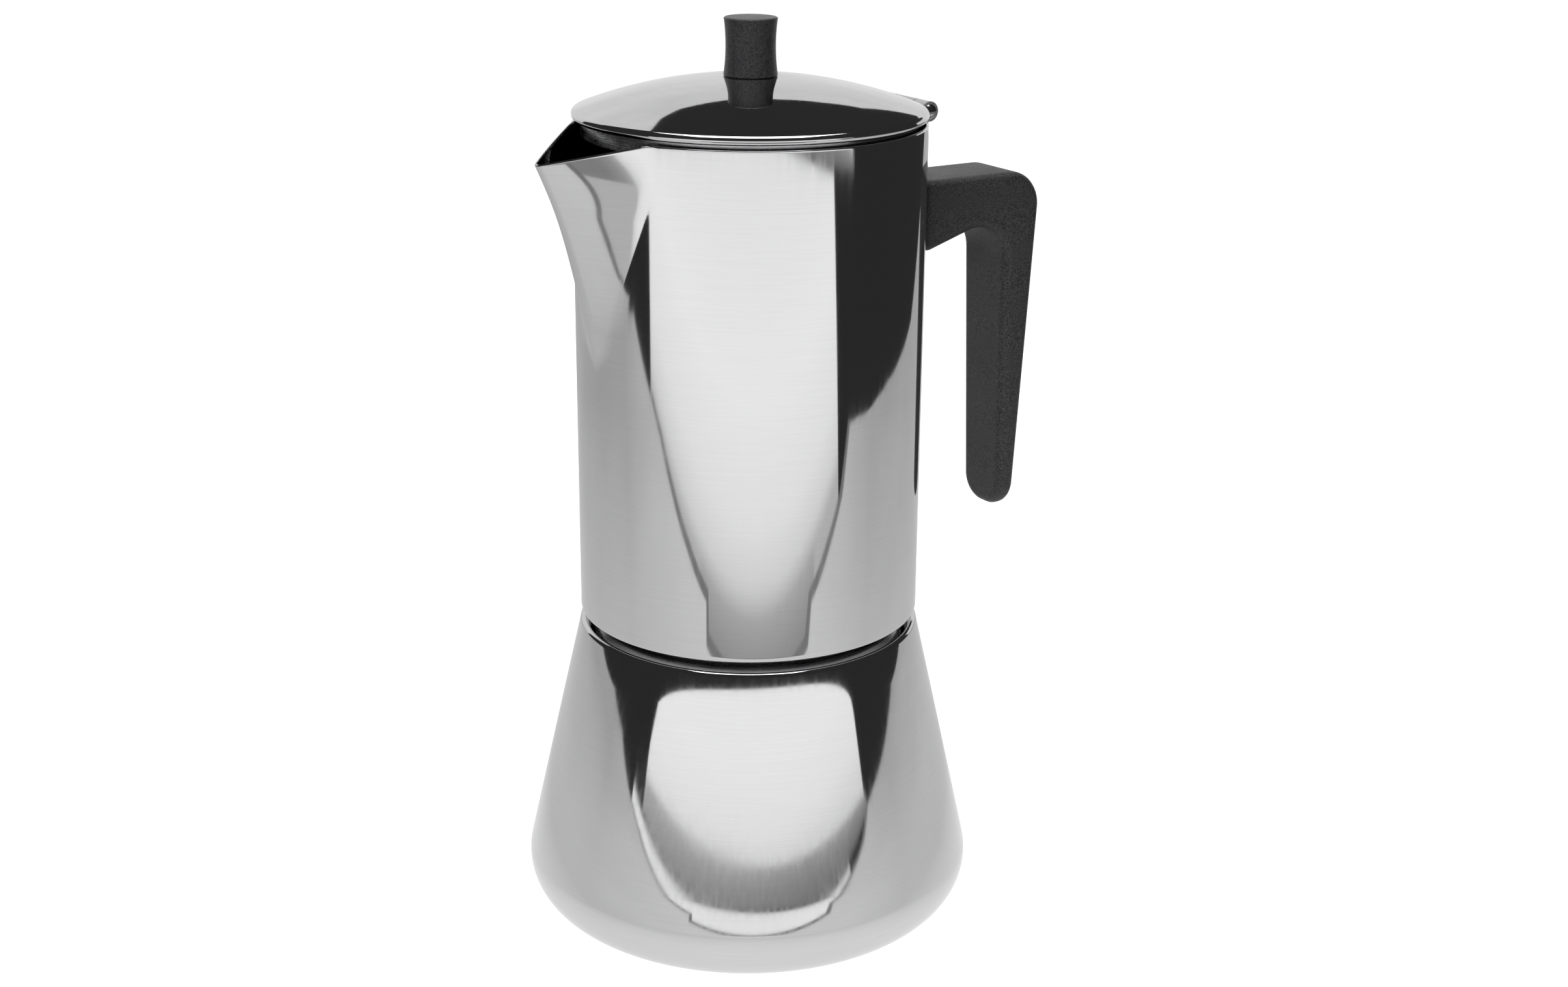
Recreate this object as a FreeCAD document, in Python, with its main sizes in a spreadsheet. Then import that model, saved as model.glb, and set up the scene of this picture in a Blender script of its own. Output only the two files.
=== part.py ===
import FreeCAD, Part
import math
import os
import Sketcher
from FreeCAD import Placement, Rotation, Vector

# Stove-top espresso pot in stainless steel.  Millimetres, +Z up, +X towards the
# handle, -X towards the spout, origin in the middle of the foot.

os.makedirs("parts", exist_ok=True)
doc = FreeCAD.newDocument("MokaPot")
sheet = doc.addObject("Spreadsheet::Sheet", "d")
sheet.Label = "Sizes"
sheet_rows = []


def size(name, number, meaning):
    """Write one driving size into the sheet."""
    row = len(sheet_rows) + 1
    sheet.set("A%d" % row, name)
    sheet.set("B%d" % row, str(number))
    sheet.set("C%d" % row, meaning)
    sheet.setAlias("B%d" % row, name)
    sheet_rows.append(name)


# Boiler
size("shoulder_radius", 46.0, "outside of the cone where it turns in to the neck")
size("shoulder_height", 84.0, "height of that shoulder")
size("cone_angle", 12.85, "slope of the cone from upright")
size("foot_corner", 13.6, "rounding between cone and foot")
size("boiler_wall", 1.0, "sheet of the boiler")
size("shoulder_corner", 1.4, "rounding of the shoulder edge")
size("neck_radius", 41.0, "outside of the plain neck")
size("neck_height", 98.0, "top of the neck")
# Screw thread between boiler and chamber
size("thread_pitch", 3.0, "rise of the screw thread in one turn")
size("thread_base", 41.7, "radius under the outer thread")
size("thread_crest", 42.6, "radius over the outer thread")
size("thread_ring_top", 97.0, "top of the threaded ring")
size("thread_clear", 0.3, "radial clearance between the two threads")
size("thread_depth", 1.0, "depth of the inner thread")
size("thread_turns", 2.6, "turns of ridge on each thread")
# Upper chamber
size("body_radius", 46.0, "outside of the upper chamber")
size("body_wall", 0.8, "sheet of the upper chamber")
size("body_bottom", 86.7, "lower edge of the upper chamber")
size("body_rim", 218.95, "upper edge of the upper chamber")
size("body_lip", 44.2, "inner radius of the turned-in lower edge")
size("body_lip_corner", 1.9, "rounding of the lower edge")
size("floor_sheet", 1.0, "sheet of the chamber floor")
size("floor_cone_radius", 32.0, "where the floor starts to rise")
size("floor_cone_height", 14.0, "rise of the floor to the column")
# Spout: four level cuts through it, from its root to above the rim
size("spout_height_a", 160.0, "lowest cut")
size("spout_reach_a", 45.9, "distance of the nose from the axis")
size("spout_nose_a", 9.0, "radius of the nose")
size("spout_angle_a", 78.0, "half angle of the vee")
size("spout_back_a", 44.6, "plane inside the chamber where the cut ends")
size("spout_height_b", 180.0, "second cut")
size("spout_reach_b", 50.5, "distance of the nose from the axis")
size("spout_nose_b", 6.0, "radius of the nose")
size("spout_angle_b", 60.0, "half angle of the vee")
size("spout_back_b", 42.0, "plane inside the chamber where the cut ends")
size("spout_height_c", 200.0, "third cut")
size("spout_reach_c", 56.3, "distance of the nose from the axis")
size("spout_nose_c", 3.6, "radius of the nose")
size("spout_angle_c", 49.7, "half angle of the vee")
size("spout_back_c", 40.5, "plane inside the chamber where the cut ends")
size("spout_height_d", 221.0, "cut above the rim")
size("spout_reach_d", 65.4, "distance of the nose from the axis")
size("spout_nose_d", 2.4, "radius of the nose")
size("spout_angle_d", 39.2, "half angle of the vee")
size("spout_back_d", 38.0, "plane inside the chamber where the cut ends")
size("spout_mouth", 41.4, "distance from the axis where the lip starts to fall")
size("spout_fall", 17.0, "fall of the spout lip, degrees")
# Coffee column
size("column_foot", 8.6, "outside radius at the floor")
size("column_top_radius", 6.4, "outside radius at the outlet")
size("column_wall", 0.8, "sheet of the column")
size("column_top", 181.0, "height of the outlet")
size("cap_height", 9.0, "height of the column cap")
size("cap_slot_width", 4.0, "width of each outlet slot")
size("cap_slot_height", 3.6, "height of each outlet slot")
# Gasket and filter plate
size("gasket_outer", 42.4, "outside of the gasket")
size("gasket_inner", 34.4, "inside of the gasket")
size("gasket_thick", 3.5, "thickness of the gasket")
size("filter_radius", 34.3, "edge of the filter plate inside the gasket")
size("filter_sheet", 0.8, "sheet of the filter plate")
size("hole_radius", 0.7, "radius of each filter hole")
size("hole_pitch", 4.8, "spacing of the rings of filter holes")
# Funnel
size("funnel_sheet", 0.8, "sheet of the funnel")
size("flange_radius", 41.9, "edge of the funnel flange")
size("basket_radius", 33.0, "outside of the coffee basket")
size("basket_depth", 25.0, "depth of the coffee basket")
size("basket_cone", 7.0, "height of the cone below the basket")
size("tube_radius", 5.0, "outside of the funnel tube")
size("tube_wall", 0.7, "sheet of the funnel tube")
size("tube_gap", 6.0, "height of the open tube end above the ground")
size("plate_sheet", 0.7, "sheet of the basket plate")
# Lid
size("lid_rim_radius", 46.4, "outside of the rolled lid edge")
size("lid_rim_low", 220.0, "underside of the rolled lid edge")
size("lid_bead", 1.9, "thickness of the rolled lid edge")
size("lid_sheet", 0.8, "sheet of the lid")
size("lid_rise", 8.8, "rise of the dome above the rolled edge")
size("knob_seat", 7.6, "radius of the flat on the dome under the knob")
size("skirt_radius", 43.8, "outside of the ring under the lid")
size("skirt_low", 215.8, "lower edge of that ring")
# Knob
size("knob_top_radius", 6.94, "radius of the knob top")
size("knob_waist", 6.46, "smallest radius of the knob")
size("knob_waist_height", 7.8, "height of the waist above the knob foot")
size("knob_curve", 52.0, "radius of the hollow side")
size("knob_height", 14.9, "height of the knob")
size("knob_screw_radius", 2.0, "radius of the knob screw")
size("insert_radius", 3.4, "radius of the brass insert")
size("insert_length", 8.0, "length of the brass insert")
# Hinge
size("hinge_distance", 49.4, "distance of the hinge axis from the pot axis")
size("hinge_height", 219.0, "height of the hinge axis")
size("hinge_width", 21.0, "length of the hinge")
size("hinge_middle", 9.0, "length of the middle knuckle")
size("knuckle_radius", 2.7, "outside of the knuckles")
size("pin_radius", 1.9, "radius of the hinge pin")
size("pin_clear", 0.05, "running clearance on the pin")
size("knuckle_gap", 0.3, "gap between neighbouring knuckles")
size("leaf_sheet", 1.0, "sheet of the fixed leaf")
size("leaf_low", 203.0, "lower edge of the fixed leaf")
size("strap_sheet", 0.6, "sheet of the lid strap")
size("strap_clear", 0.45, "room under the strap in the notched rim")
# Handle
size("handle_root", 50.0, "distance of the handle end from the pot axis")
size("handle_top", 200.1, "top of the handle")
size("handle_reach", 89.0, "outer face of the handle at the top")
size("handle_bottom", 101.8, "lower end of the grip")
size("handle_foot_out", 84.3, "outer face at the lower end")
size("handle_foot_in", 79.3, "inner face at the lower end")
size("handle_throat", 77.3, "inner face at the top of the grip")
size("arm_low", 180.2, "underside of the arm at its root")
size("arm_rise", 17.7, "slope of the underside of the arm, degrees")
size("handle_outer_corner", 10.0, "outer rounding where the grip turns down")
size("handle_inner_corner", 9.3, "inner rounding where the grip turns down")
size("handle_half_top", 10.5, "half the width at the top")
size("handle_half_low", 8.6, "half the width near the lower end")
size("handle_end_round", 7.4, "rounding of the lower end")
size("handle_chamfer", 2.2, "chamfer along all long edges")
# Handle bracket
size("saddle_sheet", 1.2, "sheet of the saddle on the wall")
size("saddle_half_angle", 11.0, "half the arc covered by the saddle")
size("saddle_low", 184.0, "lower edge of the saddle")
size("saddle_high", 199.0, "upper edge of the saddle")
size("tongue_width", 11.0, "width of the tongue in the handle")
size("tongue_thick", 4.0, "thickness of the tongue")
size("tongue_low", 190.0, "underside of the tongue")
size("tongue_end", 69.0, "distance of the tongue end from the pot axis")
size("slot_clear", 0.1, "clearance of the tongue in its slot")
size("handle_screw_at", 61.0, "distance of the handle screw from the pot axis")
size("handle_screw_radius", 2.0, "radius of the handle screw")
size("screw_head_radius", 3.6, "radius of the screw head")
size("screw_head_height", 2.4, "height of the screw head")
size("washer_radius", 4.2, "radius of the washers")
size("washer_sheet", 0.8, "thickness of the washers")
# Safety valve, square to the cone on the side away from the spout and handle
size("valve_height", 58.0, "height of the valve on the cone")
size("valve_shank", 4.0, "radius of the threaded shank")
size("valve_inside", 7.0, "length of the shank inside the boiler")
size("valve_bore", 1.5, "radius of the steam hole")
size("valve_hex", 13.0, "width across the flats of the hexagon")
size("valve_hex_height", 4.0, "height of the hexagon")
size("valve_barrel", 4.9, "radius of the spring housing")
size("valve_chamber", 3.7, "radius of the spring room")
size("valve_length", 7.5, "length of the housing beyond the hexagon")
size("valve_washer", 1.0, "thickness of the sealing washer")
size("valve_nut_height", 3.2, "height of the lock nut")
size("poppet_radius", 2.6, "radius of the valve plate")
size("poppet_plate", 1.1, "thickness of the valve plate")
size("poppet_stem", 0.9, "radius of the valve stem")
size("poppet_out", 1.6, "length of stem outside the cap")
size("spring_wire", 0.35, "radius of the spring wire")
size("spring_coil", 2.2, "radius of the spring coil")
size("spring_turns", 4.0, "turns of the spring")
size("valve_cap_sheet", 1.2, "thickness of the valve cap")
doc.recompute()


def value(expression):
    """Number given by a formula written in the names of the sheet."""
    return float(sheet.evalExpression(str(expression)))


def origin_item(body, role):
    """Plane or axis of the body's own origin."""
    for item in body.Origin.OriginFeatures:
        if item.Role == role:
            return item


def new_body(label):
    """Empty body; its label names the piece."""
    body = doc.addObject("PartDesign::Body", label)
    body.Label = label
    return body


def sketch_on(body, role, name, lift=None):
    """Sketch on a plane of the body's origin, lifted along its normal if asked."""
    sketch = body.newObject("Sketcher::SketchObject", name)
    sketch.AttachmentSupport = [(origin_item(body, role), "")]
    sketch.MapMode = "FlatFace"
    if lift is not None:
        sketch.AttachmentOffset = Placement(Vector(0, 0, value(lift)), Rotation())
        sketch.setExpression("AttachmentOffset.Base.z", str(lift))
    return sketch


def fix(sketch, kind, items, expression):
    """Dimension driven by a formula."""
    index = sketch.addConstraint(Sketcher.Constraint(kind, *items, value(expression)))
    if not isinstance(expression, (int, float)):
        sketch.setExpression("Constraints[%d]" % index, expression)


def outline(sketch, corners):
    """Closed outline.  A corner is (x, y); with a radius and a side (1 left, -1 right)
    the stretch to the next corner is an arc with its centre on that side."""
    first = sketch.GeometryCount
    count = len(corners)
    places = [Vector(value(c[0]), value(c[1]), 0) for c in corners]
    for i in range(count):
        start = places[i]
        end = places[(i + 1) % count]
        if len(corners[i]) == 2:
            sketch.addGeometry(Part.LineSegment(start, end))
            continue
        radius = value(corners[i][2])
        side = corners[i][3]
        chord = end - start
        across = Vector(-chord.y, chord.x, 0).normalize()
        height = math.sqrt(max(radius ** 2 - (chord.Length / 2) ** 2, 0))
        centre = (start + end) * 0.5 + across * height * side
        circle = Part.Circle(centre, Vector(0, 0, 1), radius)
        a = math.atan2(start.y - centre.y, start.x - centre.x)
        b = math.atan2(end.y - centre.y, end.x - centre.x)
        if side < 0:
            a, b = b, a
        sketch.addGeometry(Part.ArcOfCircle(circle, a, b))
    for i in range(count):
        follower = (i + 1) % count
        tail = 1 if len(corners[i]) > 2 and corners[i][3] < 0 else 2
        head = 2 if len(corners[follower]) > 2 and corners[follower][3] < 0 else 1
        joint = Sketcher.Constraint("Coincident", first + i, tail, first + follower, head)
        sketch.addConstraint(joint)
    for i in range(count):
        head = 2 if len(corners[i]) > 2 and corners[i][3] < 0 else 1
        fix(sketch, "DistanceX", (-1, 1, first + i, head), corners[i][0])
        fix(sketch, "DistanceY", (-1, 1, first + i, head), corners[i][1])
        if len(corners[i]) > 2:
            fix(sketch, "Radius", (first + i,), corners[i][2])


def ring(sketch, x, y, radius):
    """Circle at a driven place."""
    centre = Vector(value(x), value(y), 0)
    index = sketch.addGeometry(Part.Circle(centre, Vector(0, 0, 1), value(radius)))
    fix(sketch, "DistanceX", (-1, 1, index, 3), x)
    fix(sketch, "DistanceY", (-1, 1, index, 3), y)
    fix(sketch, "Radius", (index,), radius)


def hexagon(sketch, flats):
    """Regular hexagon about the origin, given across its flats."""
    far = "(%s) / 2 / cos(30)" % flats
    corners = []
    for turn in range(0, 360, 60):
        corners.append(("%s * cos(%d)" % (far, turn), "%s * sin(%d)" % (far, turn)))
    outline(sketch, corners)


def revolve(body, corners, name="Turning", kind="PartDesign::Revolution"):
    """Turned form (or groove) from an outline of radius and height."""
    sketch = sketch_on(body, "XZ_Plane", name + "Outline")
    outline(sketch, corners)
    feature = body.newObject(kind, name)
    feature.Profile = sketch
    feature.ReferenceAxis = (sketch, ["V_Axis"])
    feature.Angle = 360
    return feature


def turned(label, corners):
    """Body made by one turning."""
    body = new_body(label)
    revolve(body, corners)
    return body


def pad(body, sketch, length, name, middle=False, back=False):
    """Sketch made solid over a driven length."""
    feature = body.newObject("PartDesign::Pad", name)
    feature.Profile = sketch
    feature.Length = value(length)
    feature.setExpression("Length", str(length))
    feature.Midplane = middle
    feature.Reversed = back
    return feature


def cut(body, sketch, length, name, middle=False, back=False):
    """Sketch cut away over a driven length."""
    feature = body.newObject("PartDesign::Pocket", name)
    feature.Profile = sketch
    feature.Length = value(length)
    feature.setExpression("Length", str(length))
    feature.Midplane = middle
    feature.Reversed = back
    return feature


def circles_at(feature, radius, height):
    """Names of the level circular edges of given radius and height."""
    doc.recompute()
    names = []
    for number, edge in enumerate(feature.Shape.Edges, 1):
        if not isinstance(edge.Curve, Part.Circle):
            continue
        same_radius = abs(edge.Curve.Radius - value(radius)) < 0.01
        same_height = abs(edge.Curve.Center.z - value(height)) < 0.01
        if same_radius and same_height:
            names.append("Edge%d" % number)
    return names


def round_off(body, feature, edges, radius, name):
    """Rounding of the named edges."""
    rounding = body.newObject("PartDesign::Fillet", name)
    rounding.Base = (feature, edges)
    rounding.Radius = value(radius)
    rounding.setExpression("Radius", str(radius))
    return rounding


def lift(body, height):
    """Stand the body at a driven height."""
    body.Placement = Placement(Vector(0, 0, value(height)), Rotation())
    body.setExpression("Placement.Base.z", str(height))


def thread_ridge(body, corners, height, name):
    """Screw ridge: an outline of radius and height swept up the thread."""
    sketch = sketch_on(body, "XZ_Plane", name + "Outline")
    outline(sketch, corners)
    helix = body.newObject("PartDesign::AdditiveHelix", name)
    helix.Profile = sketch
    helix.ReferenceAxis = (sketch, ["V_Axis"])
    helix.Mode = "pitch-turns-angle"
    helix.Pitch = value("d.thread_pitch")
    helix.setExpression("Pitch", "d.thread_pitch")
    helix.Turns = value(height)
    helix.setExpression("Turns", height)
    return helix


# ---- Boiler shell: drawn steel cone with a rounded foot and a plain neck ----
boiler = new_body("boiler_shell")
cone_foot = "(d.shoulder_radius + d.shoulder_height * tan(d.cone_angle))"
inside_step = "d.boiler_wall / cos(d.cone_angle)"
inside_foot = "(%s - d.boiler_wall * tan(d.cone_angle) - %s)" % (cone_foot, inside_step)
inside_top = "(d.shoulder_radius + d.boiler_wall * tan(d.cone_angle) - %s)" % inside_step
inside_round = "(d.foot_corner - d.boiler_wall)"
outside_run = "(d.foot_corner / tan(45 - d.cone_angle / 2))"
inside_run = "(%s / tan(45 - d.cone_angle / 2))" % inside_round
neck_inner = "(d.neck_radius - d.boiler_wall)"
boiler_outside = revolve(boiler, [
    ("0", "0"),
    ("%s - %s" % (cone_foot, outside_run), "0", "d.foot_corner", 1),
    ("%s - %s * sin(d.cone_angle)" % (cone_foot, outside_run),
     "%s * cos(d.cone_angle)" % outside_run),
    ("d.shoulder_radius", "d.shoulder_height"),
    ("d.neck_radius", "d.shoulder_height"),
    ("d.neck_radius", "d.neck_height"),
    ("0", "d.neck_height")], "Outside")
shoulder_edge = circles_at(boiler_outside, "d.shoulder_radius", "d.shoulder_height")
round_off(boiler, boiler_outside, shoulder_edge, "d.shoulder_corner", "ShoulderRound")
revolve(boiler, [
    ("0", "d.boiler_wall"),
    ("%s - %s" % (inside_foot, inside_run), "d.boiler_wall", inside_round, 1),
    ("%s - %s * sin(d.cone_angle)" % (inside_foot, inside_run),
     "d.boiler_wall + %s * cos(d.cone_angle)" % inside_run),
    (inside_top, "d.shoulder_height - d.boiler_wall"),
    (neck_inner, "d.shoulder_height - d.boiler_wall"),
    (neck_inner, "d.neck_height + 1"),
    ("0", "d.neck_height + 1")], "Inside", "PartDesign::Groove")

# Safety valve position: on the cone, square to it, towards +Y
valve_out = "(d.shoulder_radius + (d.shoulder_height - d.valve_height) * tan(d.cone_angle))"
valve_turn = Rotation(Vector(-1, 0, 0), 90 - value("d.cone_angle"))
valve_place = Placement(Vector(0, value(valve_out), value("d.valve_height")), valve_turn)


def at_valve(body):
    """Stand a body square on the cone at the valve."""
    body.Placement = valve_place
    body.setExpression("Placement.Base.y", valve_out)
    body.setExpression("Placement.Base.z", "d.valve_height")


valve_hole = sketch_on(boiler, "XY_Plane", "ValveHoleOutline")
valve_hole.AttachmentOffset = valve_place
valve_hole.setExpression("AttachmentOffset.Base.y", valve_out)
valve_hole.setExpression("AttachmentOffset.Base.z", "d.valve_height")
ring(valve_hole, "0", "0", "d.valve_shank")
cut(boiler, valve_hole, "12", "ValveHole", middle=True)

# ---- Threaded ring welded around the neck ----
thread_ring = new_body("boiler_thread_ring")
revolve(thread_ring, [
    ("d.neck_radius", "d.shoulder_height"),
    ("d.thread_base", "d.shoulder_height"),
    ("d.thread_base", "d.thread_ring_top"),
    ("d.neck_radius", "d.thread_ring_top")], "Sleeve")
ridge_start = "(d.body_bottom + 1.0)"
thread_ridge(thread_ring, [
    ("d.thread_base - 0.3", ridge_start + " - 0.8"),
    ("d.thread_crest", ridge_start + " - 0.25"),
    ("d.thread_crest", ridge_start + " + 0.25"),
    ("d.thread_base - 0.3", ridge_start + " + 0.8")], "d.thread_turns", "Ridge")

# ---- Upper chamber shell with the pressed-out spout ----
chamber = new_body("chamber_shell")
body_inner = "(d.body_radius - d.body_wall)"
chamber_wall = revolve(chamber, [
    (body_inner, "d.body_bottom + d.body_wall"),
    ("d.body_lip", "d.body_bottom + d.body_wall"),
    ("d.body_lip", "d.body_bottom"),
    ("d.body_radius", "d.body_bottom"),
    ("d.body_radius", "d.body_rim"),
    (body_inner, "d.body_rim")], "Wall")
lip_edge = circles_at(chamber_wall, "d.body_radius", "d.body_bottom")
round_off(chamber, chamber_wall, lip_edge, "d.body_lip_corner - d.body_wall", "LipRound")


def spout_cut(letter, inset, name):
    """Level cut through the spout: a vee with a round nose, open to the chamber."""
    reach = "(d.spout_reach_%s - %s)" % (letter, inset)
    nose = "(d.spout_nose_%s - %s)" % (letter, inset)
    angle = "d.spout_angle_%s" % letter
    nose_x = "(-%s + %s - %s * sin(%s))" % (reach, nose, nose, angle)
    nose_y = "(%s * cos(%s))" % (nose, angle)
    back = "d.spout_back_%s" % letter
    back_y = "(%s + (-%s - %s) * tan(%s))" % (nose_y, back, nose_x, angle)
    sketch = sketch_on(chamber, "XY_Plane", name, lift="d.spout_height_%s" % letter)
    outline(sketch, [
        ("-" + back, back_y),
        (nose_x, nose_y, nose, 1),
        (nose_x, "-" + nose_y),
        ("-" + back, "-" + back_y)])
    return sketch


outer_cuts = [spout_cut(letter, "0", "SpoutOutside" + letter.upper()) for letter in "abcd"]
spout_outside = chamber.newObject("PartDesign::AdditiveLoft", "SpoutOutside")
spout_outside.Profile = outer_cuts[0]
spout_outside.Sections = outer_cuts[1:]
revolve(chamber, [
    ("0", "d.spout_height_a - 10"),
    (body_inner, "d.spout_height_a - 10"),
    (body_inner, "d.body_rim + 20"),
    ("0", "d.body_rim + 20")], "ClearInside", "PartDesign::Groove")
inner_cuts = [spout_cut(letter, "d.body_wall", "SpoutInside" + letter.upper()) for letter in "abcd"]
spout_inside = chamber.newObject("PartDesign::SubtractiveLoft", "SpoutInside")
spout_inside.Profile = inner_cuts[0]
spout_inside.Sections = inner_cuts[1:]
mouth = sketch_on(chamber, "XZ_Plane", "MouthOutline")
outline(mouth, [
    ("-d.spout_mouth", "d.body_rim"),
    ("-d.spout_mouth - 40", "d.body_rim - 40 * tan(d.spout_fall)"),
    ("-d.spout_mouth - 40", "d.body_rim + 20"),
    ("-20", "d.body_rim + 20"),
    ("-20", "d.body_rim")])
cut(chamber, mouth, "100", "Mouth", middle=True)
notch = sketch_on(chamber, "YZ_Plane", "StrapNotchOutline")
notch_low = "(d.hinge_height - d.strap_clear)"
outline(notch, [
    ("-d.hinge_middle / 2 - 0.6", notch_low),
    ("d.hinge_middle / 2 + 0.6", notch_low),
    ("d.hinge_middle / 2 + 0.6", "d.body_rim + 5"),
    ("-d.hinge_middle / 2 - 0.6", "d.body_rim + 5")])
cut(chamber, notch, "60", "StrapNotch", back=True)

# ---- Thread collar welded inside the foot of the chamber ----
floor_low = "(d.neck_height + d.funnel_sheet + d.gasket_thick)"
collar_inner = "(d.thread_crest + d.thread_clear)"
collar_root = "(%s + d.thread_depth)" % collar_inner
collar_low = "(d.body_bottom + d.body_wall + 0.2)"
collar = new_body("chamber_thread_collar")
revolve(collar, [
    (collar_root, collar_low),
    (body_inner, collar_low),
    (body_inner, floor_low),
    (collar_inner, floor_low),
    (collar_inner, "d.neck_height - 1"),
    (collar_root, "d.neck_height - 1")], "Sleeve")
collar_ridge = "(%s + 1.2)" % collar_low
thread_ridge(collar, [
    (collar_root + " + 0.3", collar_ridge + " - 0.85"),
    (collar_root + " + 0.3", collar_ridge + " + 0.85"),
    (collar_inner, collar_ridge + " + 0.25"),
    (collar_inner, collar_ridge + " - 0.25")], "d.thread_turns - 0.2", "Ridge")

# ---- Chamber floor: flat gasket seat rising to the column ----
floor_top = "(%s + d.floor_sheet)" % floor_low
column_inner = "(d.column_foot - d.column_wall)"
turned("chamber_floor", [
    (body_inner, floor_low),
    (body_inner, floor_top),
    ("d.floor_cone_radius", floor_top),
    ("d.column_foot", floor_top + " + d.floor_cone_height"),
    ("d.column_foot", floor_low + " + d.floor_cone_height"),
    ("d.floor_cone_radius", floor_low)])

# ---- Coffee column and its cap ----
column_low = "(%s + d.floor_cone_height - 3)" % floor_low
column = turned("coffee_column", [
    (column_inner, column_low + " + 3"),
    ("d.column_foot", column_low + " + 3"),
    ("d.column_foot", column_low + " + 14"),
    ("d.column_top_radius", column_low + " + 24"),
    ("d.column_top_radius", "d.column_top"),
    ("d.column_top_radius - d.column_wall", "d.column_top"),
    ("d.column_top_radius - d.column_wall", column_low + " + 24"),
    (column_inner, column_low + " + 14")])
cap_outer = "(d.column_top_radius + d.column_wall)"
cap = new_body("column_cap")
cap_form = revolve(cap, [
    ("0", "0.4 * d.cap_height + d.column_wall"),
    ("d.column_top_radius", "0.4 * d.cap_height"),
    ("d.column_top_radius", "-0.6 * d.cap_height"),
    (cap_outer, "-0.6 * d.cap_height"),
    (cap_outer, "0.4 * d.cap_height + 0.4"),
    ("0", "0.4 * d.cap_height + 2 * d.column_wall + 1.0")], "Hood")
slot = sketch_on(cap, "XZ_Plane", "SlotOutline")
outline(slot, [
    ("-d.cap_slot_width / 2", "0.2"),
    ("d.cap_slot_width / 2", "0.2"),
    ("d.cap_slot_width / 2", "0.2 + 0.7 * d.cap_slot_height"),
    ("-d.cap_slot_width / 2", "0.2 + 0.7 * d.cap_slot_height")])
cut(cap, slot, "40", "Slots", middle=True)
lift(cap, "d.column_top")

# ---- Gasket on the funnel flange ----
gasket_low = "(d.neck_height + d.funnel_sheet)"
turned("gasket", [
    ("d.gasket_inner", gasket_low + " + 0.3"),
    ("d.gasket_inner + 0.3", gasket_low),
    ("d.gasket_outer - 0.3", gasket_low),
    ("d.gasket_outer", gasket_low + " + 0.3"),
    ("d.gasket_outer", floor_low + " - 0.3"),
    ("d.gasket_outer - 0.3", floor_low),
    ("d.gasket_inner + 0.3", floor_low),
    ("d.gasket_inner", floor_low + " - 0.3")])


def perforate(body, rings, name):
    """Centre hole and one sixth of the rings of holes, repeated six times."""
    middle = sketch_on(body, "XY_Plane", name + "MiddleOutline")
    ring(middle, "0", "0", "d.hole_radius")
    cut(body, middle, "6", name + "Middle", middle=True)
    sector = sketch_on(body, "XY_Plane", name + "SectorOutline")
    for level in range(1, rings + 1):
        for step in range(level):
            turn = 60.0 * step / level + 7.0 * level
            x = "%d * d.hole_pitch * cos(%g)" % (level, turn)
            y = "%d * d.hole_pitch * sin(%g)" % (level, turn)
            ring(sector, x, y, "d.hole_radius")
    first_holes = cut(body, sector, "6", name + "Sector", middle=True)
    pattern = body.newObject("PartDesign::PolarPattern", name + "Rings")
    pattern.Originals = [first_holes]
    pattern.Axis = (sector, ["N_Axis"])
    pattern.Angle = 360
    pattern.Occurrences = 6
    body.Tip = pattern


# ---- Filter plate above the coffee, inside the gasket against the floor ----
filter_plate = turned("filter_plate", [
    ("0", "0"),
    ("d.filter_radius", "0"),
    ("d.filter_radius", "d.filter_sheet"),
    ("0", "d.filter_sheet")])
perforate(filter_plate, 6, "Hole")
lift(filter_plate, floor_low + " - d.filter_sheet")

# ---- Funnel: basket with flange, its perforated plate and the tube ----
basket_inner = "(d.basket_radius - d.funnel_sheet)"
ledge = "(-d.basket_depth)"
cone_end = "(-d.basket_depth - d.basket_cone)"
tube_inner = "(d.tube_radius - d.tube_wall)"
basket = turned("funnel_basket", [
    (basket_inner, "d.funnel_sheet"),
    ("d.flange_radius", "d.funnel_sheet"),
    ("d.flange_radius", "0"),
    ("d.basket_radius", "0"),
    ("d.basket_radius", ledge),
    ("d.tube_radius + d.funnel_sheet", cone_end),
    ("d.tube_radius + d.funnel_sheet", cone_end + " - 5"),
    ("d.tube_radius", cone_end + " - 5"),
    ("d.tube_radius", cone_end + " + d.funnel_sheet"),
    (basket_inner + " - 3", ledge + " + d.funnel_sheet"),
    (basket_inner, ledge + " + d.funnel_sheet")])
lift(basket, "d.neck_height")
tube = turned("funnel_tube", [
    (tube_inner, "d.tube_gap - d.neck_height"),
    ("d.tube_radius", "d.tube_gap - d.neck_height"),
    ("d.tube_radius", cone_end + " + 0.5"),
    (tube_inner, cone_end + " + 0.5")])
tube_slot = sketch_on(tube, "XZ_Plane", "TubeSlotOutline")
outline(tube_slot, [
    ("-1.5", "d.tube_gap - d.neck_height - 1"),
    ("1.5", "d.tube_gap - d.neck_height - 1"),
    ("1.5", "d.tube_gap - d.neck_height + 5"),
    ("-1.5", "d.tube_gap - d.neck_height + 5")])
cut(tube, tube_slot, "40", "TubeSlot", middle=True)
lift(tube, "d.neck_height")
basket_plate = turned("basket_plate", [
    ("0", "0"),
    (basket_inner, "0"),
    (basket_inner, "d.plate_sheet"),
    ("0", "d.plate_sheet")])
perforate(basket_plate, 6, "Hole")
lift(basket_plate, "d.neck_height - d.basket_depth + d.funnel_sheet")

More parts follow.
